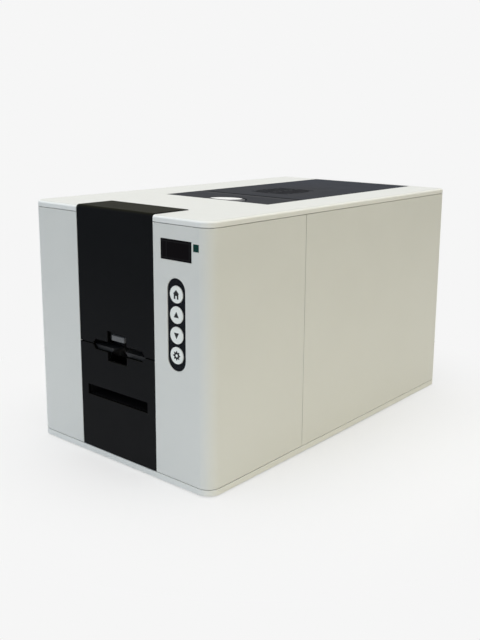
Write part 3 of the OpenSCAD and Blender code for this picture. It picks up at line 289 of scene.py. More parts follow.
# %% [markdown]
# ## Camera
# The photograph was taken with a lens of middle length from the front right, a little above the
# top. A camera could be aimed by eye, but edges then miss by many pixels. This one was fitted to
# the printer's edges: its place is a point counted sideways from the middle of the black door, and
# its turn is given by the directions to its right and up. The picture isn't centred on the lens's
# axis, so the sensor is shifted a little.
# %% Place the camera
camera_at = Vector((door_x + 0.52454, -0.63601, 0.30836))
camera_right = Vector((0.77365, 0.63352, 0.01035))
camera_up = Vector((-0.13384, 0.14745, 0.97997))
camera_back = camera_right.cross(camera_up)
lens = bpy.data.cameras.new("camera")
lens.sensor_width = 36
lens.lens = 46.31
lens.shift_x = -0.0326
lens.shift_y = -0.0696
camera = bpy.data.objects.new("camera", lens)
turn = Matrix((camera_right, camera_up, camera_back)).transposed().to_4x4()
camera.matrix_world = Matrix.Translation(camera_at) @ turn
scene.collection.objects.link(camera)
scene.camera = camera
print("camera is", round((camera_at - (lowest + highest) / 2).length, 3), "m from the printer")

# %% [markdown]
# ## Floor, backdrop and light
# A product photograph has no horizon. Pouring on light until the floor turns white would wash out
# the printer too. So the backdrop's pale tone is one that only the camera, mirrors and glass see,
# while a plain sky, much weaker, lights the printer at a level at which colours come out about as
# written.
# %% Light level and tones
BACKDROP = (0.922, 0.922, 0.922, 1.0)
SKY_COLOUR = (0.97, 0.99, 1.0, 1.0)
SKY_LEVEL = 0.25
scene.view_settings.view_transform = "Standard"

world = bpy.data.worlds.new("studio")
scene.world = world
world.use_nodes = True
sky = Tree(world.node_tree)
lit = sky.node("Background", {}, {"Color": SKY_COLOUR, "Strength": SKY_LEVEL})
seen = sky.node("Background", {}, {"Color": BACKDROP, "Strength": 1.0})
either = sky.node("MixShader", {}, {0: sky.viewed(), 1: lit, 2: seen})
sky.feed(sky.nodes["World Output"].inputs["Surface"], either)
print("sky level", SKY_LEVEL)

# %% [markdown]
# Most of what this lesson adds is made of rings of points joined by bands of faces: the floor, the
# screws, the belt and the signs. Blender's operators could add circles and tubes, but they act on
# whatever is selected at the time. A bmesh takes points and faces directly, so two helpers make the
# rings and the bands, and a third turns the result into an object.
# %% Rings, bands and objects
def circle(mesh, radius, height, sides):
    """A ring of points, or a single point where the radius is zero."""
    if radius == 0:
        return [mesh.verts.new((0, 0, height))]
    return [mesh.verts.new((radius * math.cos(a), radius * math.sin(a), height))
            for a in (2 * math.pi * i / sides for i in range(sides))]


def band(mesh, first, second):
    """Joins two rings of the same number of points by a band of faces."""
    for i in range(len(first)):
        j = (i + 1) % len(first)
        mesh.faces.new((first[i], first[j], second[j], second[i]))


def from_bmesh(name, mesh):
    """Turns a bmesh into an object in the scene."""
    bmesh.ops.recalc_face_normals(mesh, faces=mesh.faces)
    data = bpy.data.meshes.new(name)
    mesh.to_mesh(data)
    mesh.free()
    made = bpy.data.objects.new(name, data)
    scene.collection.objects.link(made)
    return made


print("mesh tools ready")

# %% [markdown]
# The floor is a roll of paper in a studio. A square plane would show its edge, so it is a wide
# disc. Near the printer it is lit and keeps a soft shadow; further out it turns into the backdrop's
# own tone. Its rings keep the faces from getting long and thin.
# %% Floor
def disc(name, radius, z, rings=4, sides=96):
    """A flat disc of rings, so that it has no long thin faces."""
    mesh = bmesh.new()
    loops = [circle(mesh, radius * ring / rings, z, sides) for ring in range(1, rings + 1)]
    mesh.faces.new(loops[0])
    for inner, outer in zip(loops, loops[1:]):
        band(mesh, outer, inner)
    return from_bmesh(name, mesh)


FLOOR_RADIUS = 9.0
GLOW_BELOW = 0.62
FADE_FROM, FADE_RATE = 0.2, 2.5
floor = disc("floor", FLOOR_RADIUS, 0.0)
if floor.data.polygons[0].normal.z < 0:
    floor.data.flip_normals()
floor_paint = Paint("floor_paper", (0.80, 0.80, 0.79), rough=0.9, specular=0.0)
away = floor_paint.node("VectorMath", {"operation": "LENGTH"}, {0: floor_paint.place}, "Value")
fibre = floor_paint.noise(0.002, 3)
viewed = floor_paint.viewed()
floor_paint.set("Base Color", floor_paint.tint(viewed, (0.96, 0.96, 0.96)))
floor_paint.set("Normal", floor_paint.bump(fibre, 0.00001))
glow = floor_paint.node("Emission", {}, {"Color": BACKDROP, "Strength": 1.0})
paper = Wire(floor_paint, floor_paint.shader.outputs[0])
far = (GLOW_BELOW + (away - FADE_FROM) * FADE_RATE).clamped() * viewed
floor_paint.feed(floor_paint.output.inputs["Surface"],
                 floor_paint.node("MixShader", {}, {0: far, 1: paper, 2: glow}))
floor.data.materials.append(floor_paint.material)
print("floor radius", FLOOR_RADIUS)

# %% [markdown]
# Large soft boxes light the printer: one far above, one in front with cool light, and weak warm
# ones low on the right, which give the long side its cream tone. One lamp in the sky's place would
# leave the walls flat; several let each wall have its own tone. None of them shows in a mirror or
# to the camera.
# %% Lamps
def soft_box(name, at, target, size, power, colour):
    """A rectangular lamp of this width and height that points at a target."""
    lamp = bpy.data.lights.new(name, "AREA")
    lamp.shape = "RECTANGLE"
    lamp.size, lamp.size_y = size
    lamp.energy = power
    lamp.color = colour
    made = bpy.data.objects.new(name, lamp)
    made.location = at
    made.rotation_euler = (Vector(target) - Vector(at)).to_track_quat("-Z", "Y").to_euler()
    scene.collection.objects.link(made)
    made.visible_glossy = False
    made.visible_camera = False
    return made


middle = (0.0, 0.0, 0.11)
lamps = [
    ("top_lamp", (0.0, -0.1, 2.1), middle, (2.2, 2.2), 41, (1.0, 0.995, 0.965)),
    ("front_lamp", (-0.4, -2.2, 0.5), middle, (1.4, 1.4), 7.0, (0.40, 0.66, 1.0)),
    ("right_lamp", (2.1, -0.35, 0.35), middle, (1.4, 1.4), 1.25, (1.0, 0.80, 0.02)),
    ("low_right_lamp", (1.25, 0.05, 0.07), (0.11, 0.0, 0.02), (0.9, 0.12), 1.1,
     (1.0, 0.78, 0.06)),
    ("low_corner_lamp", (0.80, -0.78, 0.06), (0.1, -0.1, 0.02), (0.9, 0.1), 0.85,
     (1.0, 0.98, 0.92)),
]
for lamp in lamps:
    soft_box(*lamp)
print("lamps", len(lamps))

# %% [markdown]
# ## Moulded plastic
# Nearly all of the casing is injection-moulded plastic. Its mould is spark-eroded, which leaves a
# fine even grain, and a large flat wall also cools a little unevenly, so its tone and gloss drift
# slowly. Each plastic could have a material wired for itself, but they differ only in numbers. So
# one recipe covers the white shells, the black doors and the grey inner parts: fine grain as a
# bump, faint clouds in colour and gloss, and dust and a streaky film that lie only on faces that
# look up. On the black door that film is brownish dust; on the white top cover it is painted shade,
# which makes the top face darker than the upright band.
# %% A recipe for moulded plastic
FLECK_APART, FLECK_RADIUS = 0.0011, 0.26


def moulded(name, colour, rough, grain=0.0004, depth=0.00002, clouds=0.03, dust=0.0,
            dust_colour=(0.75, 0.73, 0.70), specular=0.5, speckle=None, film=None):
    """Plastic with grain of this size and depth in metres; speckle and film are colours."""
    paint = Paint(name, colour, rough, specular=specular)
    cloud = paint.noise(0.05, 3, 0.55)
    fine = paint.noise(grain, 2, 0.6)
    rubbed = paint.noise(0.012, 4, 0.65)
    shade = [c * (1 - 2 * clouds) for c in colour]
    tone = paint.tint(cloud, shade)
    if speckle:
        tone = paint.tint((paint.cells(FLECK_APART) < FLECK_RADIUS) * 0.7, speckle, tone)
    # The film on faces that look up is dust on the black door and painted shade on the white cover.
    if film:
        film_streaks = paint.noise(0.003, 3, 0.6, paint.place.stretched(0.06, 1.0, 1.0))
        facing = (paint.upward() - 0.3).clamped() * 1.4
        tone = paint.tint(facing * (0.75 + 0.4 * film_streaks), film, tone)
    if dust:
        patches = (paint.noise(0.004, 5, 0.7) * 1.6 - 0.4).clamped()
        tone = paint.tint((paint.upward() - 0.6).clamped() * patches * dust, dust_colour, tone)
    paint.set("Base Color", tone)
    paint.set("Roughness", rough - 0.08 + 0.10 * rubbed + 0.06 * cloud)
    paint.set("Normal", paint.bump(fine, depth, paint.bump(cloud, 0.00006)))
    return paint


def materials():
    """How many materials there are so far."""
    return len(bpy.data.materials)


print("recipe ready, materials so far", materials())

# %% [markdown]
# Next come the plastics themselves. No black is zero and no white is one, because real plastic
# throws back about a hundredth of the light at its darkest and never all of it.
# %% The plastics of this printer
white_casing = moulded("white_casing", (0.745, 0.75, 0.718), 0.42, dust=0.05, specular=0.3)
white_base = moulded("white_base", (0.91, 0.915, 0.885), 0.42, specular=0.3)
# The white cover's film is painted shade: its top face is painted darker than its upright band.
white_cover = moulded("white_cover", (0.85, 0.855, 0.83), 0.42, dust=0.05, specular=0.12,
                      film=(0.715, 0.72, 0.69))
black_door = moulded("black_door", (0.0112, 0.0118, 0.0128), 0.5, grain=0.0005, depth=0.00004,
                     clouds=0.1, dust=0.06, dust_colour=(0.22, 0.21, 0.16), specular=0.006,
                     film=(0.011, 0.011, 0.006))
dark_lid = moulded("dark_lid", (0.040, 0.041, 0.044), 0.5, grain=0.0006, depth=0.00003,
                   clouds=0.08, dust=0.04, dust_colour=(0.20, 0.20, 0.20), specular=0.003)
grey_tab = moulded("grey_tab", (0.155, 0.155, 0.158), 0.5, specular=0.1)
key_cap = moulded("key_cap", (0.92, 0.94, 0.90), 0.35, grain=0.0003, depth=0.00001)
key_pad = moulded("key_pad", (0.008, 0.009, 0.012), 0.5, speckle=(0.05, 0.05, 0.055), specular=0.03)
inner_grey = moulded("inner_grey", (0.022, 0.023, 0.025), 0.5, specular=0.2)
inner_black = moulded("inner_black", (0.008, 0.008, 0.009), 0.55, specular=0.15)
gear_cream = moulded("gear_cream", (0.70, 0.67, 0.56), 0.34, grain=0.0006)
white_core = moulded("white_core", (0.74, 0.74, 0.71), 0.42)
print("materials so far", materials())

# %% [markdown]
# Some of these finishes vary over the part they are on. The black door and panel are painted
# lighter towards the desk in a mottled haze, which is painted light, and the walls of the slot and
# the mouth, which the room's light hardly reaches, are painted near black as painted shade. A
# second material on those walls would need faces that end at the front edge's bevel, so the finish
# asks for the depth behind the front instead.
# %% Painted light low down and painted shade in the recesses of the black door
FADE_HEIGHT = 0.2
BARE_DEPTH = 0.7
CAP_DEPTH = 6
low_down = (1.0 - black_door.place.axis("Z") * (1 / FADE_HEIGHT)).clamped()
# Painted light: the door is painted lighter towards the desk, in mottled patches.
painted_low_light = low_down * (0.6 + 0.5 * black_door.noise(0.03, 4, 0.6))
door_tone = black_door.tint(painted_low_light, (0.0205, 0.0200, 0.0205), black_door.now("Base Color"))
# Painted shade: the walls behind the front and below the cap are painted near black.
behind_face = black_door.place.axis("Y") > front_y + BARE_DEPTH * MM
below_cap = black_door.place.axis("Z") < top_z - CAP_DEPTH * MM
door_tone = black_door.tint(behind_face * below_cap, (0.003, 0.003, 0.003), door_tone)
black_door.set("Base Color", door_tone)
print("recesses start", BARE_DEPTH, "mm behind the front")

# %% [markdown]
# The top door is painted from a neutral grey at the front to a bluish one behind, which is a
# painted reflection, broken up by broad clouds. A painted highlight and a painted shade run as two
# bands along the line across it, as on a face that is slightly dished there. All that lies below
# its face, such as the walls of its slots, is painted dark as shade, and the oval field round the
# slots is darker than the rest, in coarse grains. Modelled grains would be far too small and many,
# so masks by place and noise do all of it.
# %% Painted reflection, painted highlight and shade bands, and the vent's field
LINE_BACK, LIGHT_WIDE, DARK_WIDE = 167.5, 7.5, 6.5
VENT_BACK, VENT_LEFT = 224.0, 2
FIELD_WIDE, FIELD_LONG = 27.0, 29.0
SUNK_DEPTH = 0.06
lid_low, lid_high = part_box("top_door")
vent_x = (lid_low.x + lid_high.x) / 2 / MM - VENT_LEFT
behind = dark_lid.place.axis("Y") - front_y
# Painted reflection: bluish towards the back, broken up by broad noise.
painted_reflection = dark_lid.noise(0.12, 1) * 0.9 + behind * 1.6 - 0.45
lid_tone = dark_lid.tint(painted_reflection.clamped(), (0.030, 0.035, 0.050), dark_lid.now("Base Color"))
# Painted highlight and painted shade in two bands along the line across the door.
painted_highlight_band = dark_lid.within(d=(LINE_BACK - LIGHT_WIDE, LINE_BACK))
lid_tone = dark_lid.tint(painted_highlight_band * 0.8, (0.056, 0.057, 0.062), lid_tone)
painted_shade_band = dark_lid.within(d=(LINE_BACK, LINE_BACK + DARK_WIDE))
lid_tone = dark_lid.tint(painted_shade_band * 0.8, (0.016, 0.017, 0.020), lid_tone)
# Painted shade: all below the door's face is painted dark.
sunk_painted_shade = dark_lid.place.axis("Z") < top_z - SUNK_DEPTH * MM
lid_tone = dark_lid.tint(sunk_painted_shade, (0.010, 0.012, 0.018), lid_tone)
coarse = 0.45 + 0.4 * dark_lid.noise(0.004, 3, 0.6)
field = dark_lid.oval(vent_x, VENT_BACK, FIELD_WIDE, FIELD_LONG) * coarse
dark_lid.set("Base Color", dark_lid.tint(field, (0.012, 0.0125, 0.015), lid_tone))
print("vent field round", round(vent_x, 1), VENT_BACK)

# %% [markdown]
# The white walls are painted lighter near the desk and darker higher up, which is painted light and
# shade. A straight fade with the height, broken up by the clouds that the recipe already has, gives
# the walls that.
# %% Walls painted darker upwards
# Painted light and shade: lighter near the desk, darker higher up.
painted_light_near_desk = (1.0 - white_casing.place.axis("Z") * (1 / FADE_HEIGHT)).clamped()
wall_tone = white_casing.tint(painted_light_near_desk, (0.815, 0.82, 0.79), white_casing.now("Base Color"))
white_casing.set("Base Color", wall_tone)
print("walls are plain above", FADE_HEIGHT, "m")

# %% [markdown]
# The top cover's rounded rim gets a painted highlight, a shade lighter than its flat face and its
# upright band. The half-moon that fills the top door's finger notch shows white in an oval only;
# the rest of it is painted dark, as the door is, and along its straight side this dark is painted
# shade of the step there. Both are told by where they are: the rim by the way its faces look, the
# half-moon by a round mask that starts at the door's front edge.
# %% Painted highlight on the rim and the oval in the finger notch
NOTCH_X, NOTCH_BACK, NOTCH_RADIUS = 13.5, 121.4, 23.0
NOTCH_DEPTH = 1.5
OVAL_X, OVAL_BACK, OVAL_WIDE, OVAL_LONG = 6.5, 134.7, 17.2, 11.8
cover_up = white_cover.upward()
# Painted highlight on the rounded rim.
painted_rim_highlight = ((cover_up - 0.1) * 3.0).clamped() * ((0.9 - cover_up) * 6.0).clamped()
cover_tone = white_cover.tint(painted_rim_highlight, (0.97, 0.975, 0.955), white_cover.now("Base Color"))
in_notch = white_cover.oval(NOTCH_X, NOTCH_BACK, NOTCH_RADIUS, NOTCH_RADIUS)
in_notch = in_notch * (white_cover.place.axis("Y") > lid_low.y)
in_notch = in_notch * (white_cover.place.axis("Z") > top_z - NOTCH_DEPTH * MM)
white_oval = white_cover.oval(OVAL_X, OVAL_BACK, OVAL_WIDE, OVAL_LONG)
cover_tone = white_cover.tint(white_oval, (0.86, 0.86, 0.85), cover_tone)
# Painted dark outside the oval: door colour, and painted shade along the notch's straight side.
cover_tone = white_cover.tint(in_notch * (1.0 - white_oval), (0.026, 0.026, 0.028), cover_tone)
white_cover.set("Base Color", cover_tone)
print("notch starts", round((lid_low.y - front_y) / MM, 1), "mm behind the front")

# %% [markdown]
# The latch is one black slider behind the door; only the thumb ridge that stands out of it is grey.
# It was moulded in two shots, so the colours meet at a sharp line at the ridge's foot.
# %% Two-shot latch
RIDGE = 2.15
latch_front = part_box("door_latch")[0].y
behind_ridge = grey_tab.place.axis("Y") > latch_front + RIDGE * MM
grey_tab.set("Base Color", grey_tab.tint(behind_ridge, (0.010, 0.010, 0.011)))
print("latch slider starts", round((latch_front - front_y) / MM + RIDGE, 1), "mm behind the front")

# %% [markdown]
# ## Rubber
# Feet and rollers are rubber. It has no gloss, its ground surface is full of tiny pits, and it
# holds dust in patches. Real pits in the mesh would need millions of faces, so a bump stands for
# them. The cleaning roller is different: a sticky blue silicone, smooth enough to shine.
# %% Rubber
def rubber(name, colour, rough, pits, dust):
    """Rubber with pits of this size in metres and this share of dust."""
    paint = Paint(name, colour, rough, specular=0.35)
    patch = paint.noise(0.006, 5, 0.7)
    paint.set("Base Color", paint.tint((patch * 1.8 - 0.7).clamped() * dust, (0.22, 0.21, 0.20)))
    paint.set("Roughness", rough - 0.1 + 0.2 * patch)
    paint.set("Normal", paint.bump(paint.noise(pits, 4, 0.7), 0.00005))
    return paint


foot_rubber = rubber("foot_rubber", (0.022, 0.022, 0.023), 0.8, 0.0007, 0.35)
roller_rubber = rubber("roller_rubber", (0.030, 0.030, 0.032), 0.7, 0.0003, 0.20)
belt_rubber = rubber("belt_rubber", (0.018, 0.018, 0.018), 0.65, 0.0005, 0.25)
cleaner_blue = rubber("cleaner_blue", (0.02, 0.12, 0.30), 0.25, 0.002, 0.08)
print("materials so far", materials())

# %% [markdown]
# ## Metals
# The side plates are zinc-coated sheet, whose crystals each catch the light a little differently,
# over faint lines from the rolling mill. Noise alone would look like clouds; a cell pattern gives
# every crystal its own tone and gloss with an edge between them, as real ones have.
# %% Zinc-coated sheet
def zinc_sheet(name, colour, crystal=0.005):
    """Sheet whose crystals are about this wide in metres."""
    paint = Paint(name, colour, 0.4, metallic=1.0)
    tone = paint.cells(crystal, output="Color").axis("X")
    rolled = paint.noise(0.0006, 3, 0.6, paint.place.stretched(1.0, 0.03, 1.0))
    paint.set("Base Color", paint.tint(tone * 0.35, [c * 0.72 for c in colour]))
    paint.set("Roughness", 0.30 + 0.16 * tone + 0.08 * rolled)
    paint.set("Normal", paint.bump(rolled, 0.000008))
    return paint


zinc = zinc_sheet("zinc", (0.56, 0.57, 0.58))
print("materials so far", materials())

# %% [markdown]
# Shafts are ground on a lathe, so their lines run round the axis: noise that is squeezed across the
# axis does that. The rollers that press on the card are rubber on a steel axle in one solid, told
# apart by the distance from the axle's line. The bearings are sintered bronze, full of pores that
# hold dark oil.
# %% Turned and sintered metal
def turned(name, colour, rough):
    """Metal with fine lines round the X axis."""
    paint = Paint(name, colour, rough, metallic=1.0)
    lines = paint.noise(0.0002, 3, 0.6, paint.place.stretched(1.0, 0.02, 0.02))
    smear = paint.noise(0.01, 3)
    paint.set("Base Color", paint.tint(smear * 0.3, [c * 0.75 for c in colour]))
    paint.set("Roughness", rough + 0.12 * lines + 0.10 * smear)
    paint.set("Normal", paint.bump(lines, 0.000006))
    return paint


def rubber_over_steel(name, roller, axle_radius):
    """Dark rubber on a steel axle, told apart by the distance from the axle's line."""
    rough, polish = 0.62, 0.36
    paint = Paint(name, (0.026, 0.026, 0.028), rough, specular=0.3)
    low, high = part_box(roller)
    up = paint.place.axis("Z") - (low.z + high.z) / 2
    back = paint.place.axis("Y") - (low.y + high.y) / 2
    axle = (up * up + back * back) < (axle_radius * MM) ** 2
    paint.set("Base Color", paint.tint(axle, (0.58, 0.58, 0.57)))
    paint.set("Metallic", axle)
    paint.set("Roughness", rough - polish * axle + 0.1 * paint.noise(0.004, 3))
    paint.set("Normal", paint.bump(paint.noise(0.0003, 3) * (1.0 - axle), 0.00004))
    return paint


AXLE = 2.7
mouth_pinch = rubber_over_steel("mouth_pinch", "mouth_pinch_roller", AXLE)
feed_pinch = rubber_over_steel("feed_pinch", "feed_pinch_roller", AXLE)
shaft_steel = turned("shaft_steel", (0.60, 0.60, 0.59), 0.18)
bronze = turned("bronze", (0.52, 0.33, 0.15), 0.34)
pores = (bronze.cells(0.0006) < 0.16) * 0.8
bronze.set("Base Color", bronze.tint(pores, (0.10, 0.06, 0.03)))
zinc_screw = turned("zinc_screw", (0.50, 0.50, 0.50), 0.30)
powder_coat = moulded("powder_coat", (0.075, 0.085, 0.10), 0.45, grain=0.0012, depth=0.00006)
print("materials so far", materials())

# %% [markdown]
# ## Parts that are two materials in one
# Some solids stand for a bought-in part that is made of several materials, such as a motor with
# cast ends round a stack of black steel sheets. Cutting the mesh up would change a CAD part, so a
# mask made from the place on the part switches between the two finishes.
# %% Stepper motor and can motors
def box_in_mm(node):
    """The lowest and highest corner of a part in millimetres."""
    return [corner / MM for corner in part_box(node)]


motor_case = Paint("motor_case", (0.50, 0.51, 0.52), 0.35, metallic=1.0)
CAST_END, STACK_LENGTH = 8, 15
stack_from = box_in_mm("drive_motor")[0].x + CAST_END
stack = motor_case.within(x=(stack_from, stack_from + STACK_LENGTH))
sheets = motor_case.noise(0.0004, 1, 0.5, motor_case.place.stretched(1.0, 0.002, 0.002))
motor_case.set("Base Color", motor_case.tint(stack, (0.025, 0.025, 0.027)))
motor_case.set("Metallic", 1.0 - 0.7 * stack)
motor_case.set("Roughness", 0.34 + 0.12 * stack + 0.12 * motor_case.noise(0.004, 4))
cast = motor_case.bump(motor_case.noise(0.0005, 3), 0.00001)
motor_case.set("Normal", motor_case.bump(sheets * stack, 0.00004, cast))
can_metal = turned("can_metal", (0.62, 0.60, 0.52), 0.28)
print("motor stack starts at", round(stack_from, 1), "mm")

# %% [markdown]
# The print head is drawn aluminium with a ceramic strip under it. Along the strip runs the line of
# heaters, less than a millimetre wide, which a mask draws more evenly than a separate sliver of
# mesh.
# %% Thermal head
HEATER = (214.6, 215.4)
CERAMIC_HIGH = 2.0
head_metal = Paint("head_metal", (0.60, 0.61, 0.62), 0.35, metallic=1.0)
head_z = box_in_mm("print_head")[0].z
ceramic = head_metal.within(z=(head_z - 1, head_z + CERAMIC_HIGH))
heater = head_metal.within(z=(head_z - 1, head_z + 0.1), d=HEATER)
strip = head_metal.tint(ceramic, (0.72, 0.70, 0.62))
head_metal.set("Base Color", head_metal.tint(heater, (0.05, 0.04, 0.035), strip))
head_metal.set("Metallic", 1.0 - ceramic)
drawn = head_metal.noise(0.0003, 3, 0.6, head_metal.place.stretched(0.02, 1.0, 1.0))
head_metal.set("Roughness", 0.26 + 0.2 * drawn - 0.08 * ceramic)
head_metal.set("Normal", head_metal.bump(drawn, 0.00001))
print("head at", round(head_z, 1), "mm")

# %% [markdown]
# The mains inlet is black plastic with bright pins deep inside. They stand alone in its recess, so
# one box-shaped mask takes them in and nothing else.
# %% Mains inlet
PIN_SPREAD = 8.2
inlet_plastic = moulded("inlet_plastic", (0.014, 0.014, 0.015), 0.42, specular=0.3)
inlet_low, inlet_high = box_in_mm("power_inlet")
inlet_x = (inlet_low.x + inlet_high.x) / 2
pin_room = {"x": (inlet_x - PIN_SPREAD, inlet_x + PIN_SPREAD), "d": (358.2, 371), "z": (28.8, 39.2)}
pins = inlet_plastic.within(**pin_room)
inlet_plastic.set("Metallic", pins)
inlet_plastic.set("Base Color", inlet_plastic.tint(pins, (0.62, 0.60, 0.55)))
print("pins masked inside the inlet")

# %% [markdown]
# ## Circuit boards
# A board is glass-fibre sheet with copper traces under green varnish. A picture of traces would do,
# but no picture is used here. Traces run straight and turn square, so a brick pattern serves as
# their map, with tinned pads as round spots.
# %% A recipe for circuit boards
def circuit_board(name, across):
    """A board with this axis across it; the traces run over it and along Z."""
    paint = Paint(name, (0.012, 0.095, 0.035), 0.32, coat=0.3)
    sides = {"X": paint.place.axis(across), "Y": paint.place.axis("Z")}
    brick = {"Vector": paint.node("CombineXYZ", {}, sides), "Mortar Smooth": 0.0,
             "Brick Width": 0.9, "Row Height": 0.35}
    traces = 0.0
    for scale, thick in ((230, 0.06), (90, 0.03)):
        values = {**brick, "Scale": scale, "Mortar Size": thick}
        traces = paint.node("TexBrick", {"offset": 0.37, "squash": 1.6}, values, "Fac") + traces
    paint.traces = (traces * (paint.noise(0.02, 1) * 6.0 - 2.4).clamped()).clamped()
    paint.pads = (paint.cells(0.0038) < 0.16) * (paint.noise(0.015, 1) > 0.48)
    varnish = paint.tint(paint.traces, (0.03, 0.19, 0.07))
    paint.look = paint.tint(paint.pads, (0.62, 0.62, 0.60), varnish)
    paint.set("Base Color", paint.look)
    paint.set("Metallic", paint.pads)
    paint.set("Roughness", 0.26 + 0.10 * paint.noise(0.01, 3))
    paint.set("Normal", paint.bump(paint.traces + paint.pads, 0.00003))
    return paint


panel_circuit = circuit_board("panel_circuit", "X")
standing = panel_circuit.within(d=(2.0, 8.5))
board_tone = panel_circuit.tint(standing, (0.02, 0.02, 0.022), panel_circuit.look)
panel_circuit.set("Base Color", board_tone)
panel_circuit.set("Metallic", panel_circuit.pads * (1.0 - standing))
print("materials so far", materials())

# %% [markdown]
# Chips, cans and sockets are part of the main board's solid. They are told apart by how far they
# stand off the board and by their place on it, and get black plastic, blue sleeves or bright metal.
# %% Main board
BOARD_BACK = 11.6
TALLEST, CAN_HIGH = 35, 14.3
POSTS_FROM, POSTS_TO = 1.7, 15
main_circuit = circuit_board("main_circuit", "Y")
board_x = box_in_mm("main_board")[1].x - BOARD_BACK
off_board = (board_x - TALLEST, board_x - 0.1)
can_row = {"d": (255, 297), "z": (90.5, 101.5)}
parts = main_circuit.within(x=off_board)
sockets = main_circuit.within(x=off_board, d=(350, 380))
cans = main_circuit.within(x=off_board, **can_row)
can_ends = main_circuit.within(x=(board_x - TALLEST, board_x - CAN_HIGH), **can_row)
posts = main_circuit.within(x=(board_x + POSTS_FROM, board_x + POSTS_TO))
look = main_circuit.tint(parts, (0.018, 0.018, 0.02), main_circuit.look)
look = main_circuit.tint(cans, (0.02, 0.03, 0.10), look)
look = main_circuit.tint(can_ends, (0.65, 0.65, 0.66), look)
look = main_circuit.tint(sockets, (0.60, 0.60, 0.58), look)
main_circuit.set("Base Color", main_circuit.tint(posts, (0.55, 0.42, 0.18), look))
bright = (sockets + can_ends + posts).clamped()
main_circuit.set("Metallic", (bright + main_circuit.pads * (1.0 - parts)).clamped())
print("board face at", round(board_x, 1), "mm")

# %% [markdown]
# ## Ribbon
# A card printer's ribbon is thin glossy film with one panel of each colour in turn, then black,
# then a clear overcoat. On the supply spool the panels are fresh; on the take-up spool they are
# used and dull. Seen from its end, a roll shows its layers as fine rings, far too many to wind as
# mesh, so they are a bump. Along the web, a ramp with hard steps gives the panels.
# %% Ribbon film
LAYER = 0.0004


def film_roll(name, colour, d, z, rough):
    """Wound film round a spool at this place in millimetres."""
    paint = Paint(name, colour, rough, coat=0.4)
    layers = paint.rings(d, z, LAYER)
    paint.set("Base Color", paint.tint(layers * 0.5, [c * 0.4 + 0.01 for c in colour]))
    paint.set("Roughness", rough + 0.08 * layers + 0.1 * paint.noise(0.01, 3))
    paint.set("Normal", paint.bump(layers, 0.00002))
    return paint


SPOOL_Z = 167
fresh_roll = film_roll("fresh_roll", (0.55, 0.42, 0.02), 163, SPOOL_Z, 0.16)
used_roll = film_roll("used_roll", (0.10, 0.035, 0.12), 260, SPOOL_Z, 0.22)

WEB_FROM, WEB_LENGTH = 0.16, 0.1
panels = Paint("ribbon_panels", (0.5, 0.4, 0.02), 0.14, coat=0.5)
along = (panels.place.axis("Y") - (front_y + WEB_FROM)) * (1 / WEB_LENGTH)
panel_colours = [(0.0, (0.60, 0.48, 0.02)), (0.26, (0.55, 0.02, 0.16)), (0.52, (0.01, 0.20, 0.48)),
                 (0.78, (0.015, 0.015, 0.017)), (0.94, (0.42, 0.42, 0.44))]
panels.set("Base Color", panels.node("ValToRGB", {"stops": panel_colours}, {"Fac": along}))
panels.set("Roughness", 0.12 + 0.12 * panels.noise(0.02, 3))
creases = panels.noise(0.006, 2, 0.5, panels.place.stretched(1.0, 0.2, 0.2))
panels.set("Normal", panels.bump(creases, 0.00006))
print("ribbon colours", len(panel_colours))

# %% [markdown]
# ## Display glass and status light
# The display is a strip of dark acrylic. Clear glass with a module behind it could be modelled, but
# unlit it hides all but the module's black frame, which shows as lines a shade lighter than the
# rest. So the glass is opaque here and the lines are masks.
# %% Display glass
BORDER = 1.5
glass_low, glass_high = box_in_mm("display_window")
glass = Paint("window_glass", (0.0028, 0.0020, 0.0030), 0.12, specular=0.03)
left, right = glass_low.x + BORDER, glass_high.x - BORDER
low, high = glass_low.z + BORDER, glass_high.z - BORDER
upright_lines = ((left + 1.2, left + 2.0), (left + 6.0, left + 6.7), (right - 2.8, right - 1.8))
level_lines = ((high - 2.2, high - 1.5), (low + 1.3, low + 2.0))
frame_lines = 0.0
for line in upright_lines:
    frame_lines = glass.within(x=line) + frame_lines
for line in level_lines:
    frame_lines = glass.within(z=line) + frame_lines
glass.set("Base Color", glass.tint(frame_lines.clamped() * 0.8, (0.014, 0.014, 0.015)))
glass.set("Roughness", 0.10 + 0.10 * glass.noise(0.008, 4))
print("glass", [round(v, 1) for v in (left, right, low, high)])

# %% [markdown]
# The status light is a square green lens, moulded with a cross on its back that divides it in four.
# A faint emission colour paints a glow on it, which is painted light: a lamp behind it would need
# clear plastic and many samples, an emission colour doesn't.
# %% Status light
HALF_BAR = 0.4
lens_green = Paint("light_lens", (0.0, 0.032, 0.026), 0.25, specular=0.08)
lens_low, lens_high = box_in_mm("status_light")
lens_x, lens_z = (lens_low.x + lens_high.x) / 2, (lens_low.z + lens_high.z) / 2
upright = lens_green.within(x=(lens_x - HALF_BAR, lens_x + HALF_BAR))
cross = (upright + lens_green.within(z=(lens_z - HALF_BAR, lens_z + HALF_BAR))).clamped()
lens_green.set("Base Color", lens_green.tint(cross, (0.0, 0.020, 0.014)))
# Painted light: a faint green glow, darker on the cross.
lens_painted_glow = lens_green.tint(cross, (0.0, 0.005, 0.004), (0.0, 0.008, 0.006, 1.0))
lens_green.set("Emission Color", lens_painted_glow)
lens_green.set("Emission Strength", 1.0)
lens_green.set("Normal", lens_green.bump(lens_green.cells(0.0008), 0.00004))
print("light at", round(lens_x, 1), round(lens_z, 1), "mm")

# %% [markdown]
# ## Softened edges
# CAD edges are perfectly sharp, and nothing moulded is. A sharp edge catches no light, so a part
# with such edges looks like card. The parts of the front are therefore copied, cleaned of the
# triangles that the export made, and given a fine bevel, which draws the thin bright line that real
# edges have. A bevel in the shader would cost no faces, but it doesn't survive an export. The copy
# stands for its CAD part and moves with the same body. The base, the rear shell and the two top
# parts keep their own mesh: the cover's edges are rounded in the model, and a bevel would tear the
# door where its slots and notch come close.
# %% A copy with softened edges
SAME_POINT = 0.000002
FLAT_ANGLE = 0.5


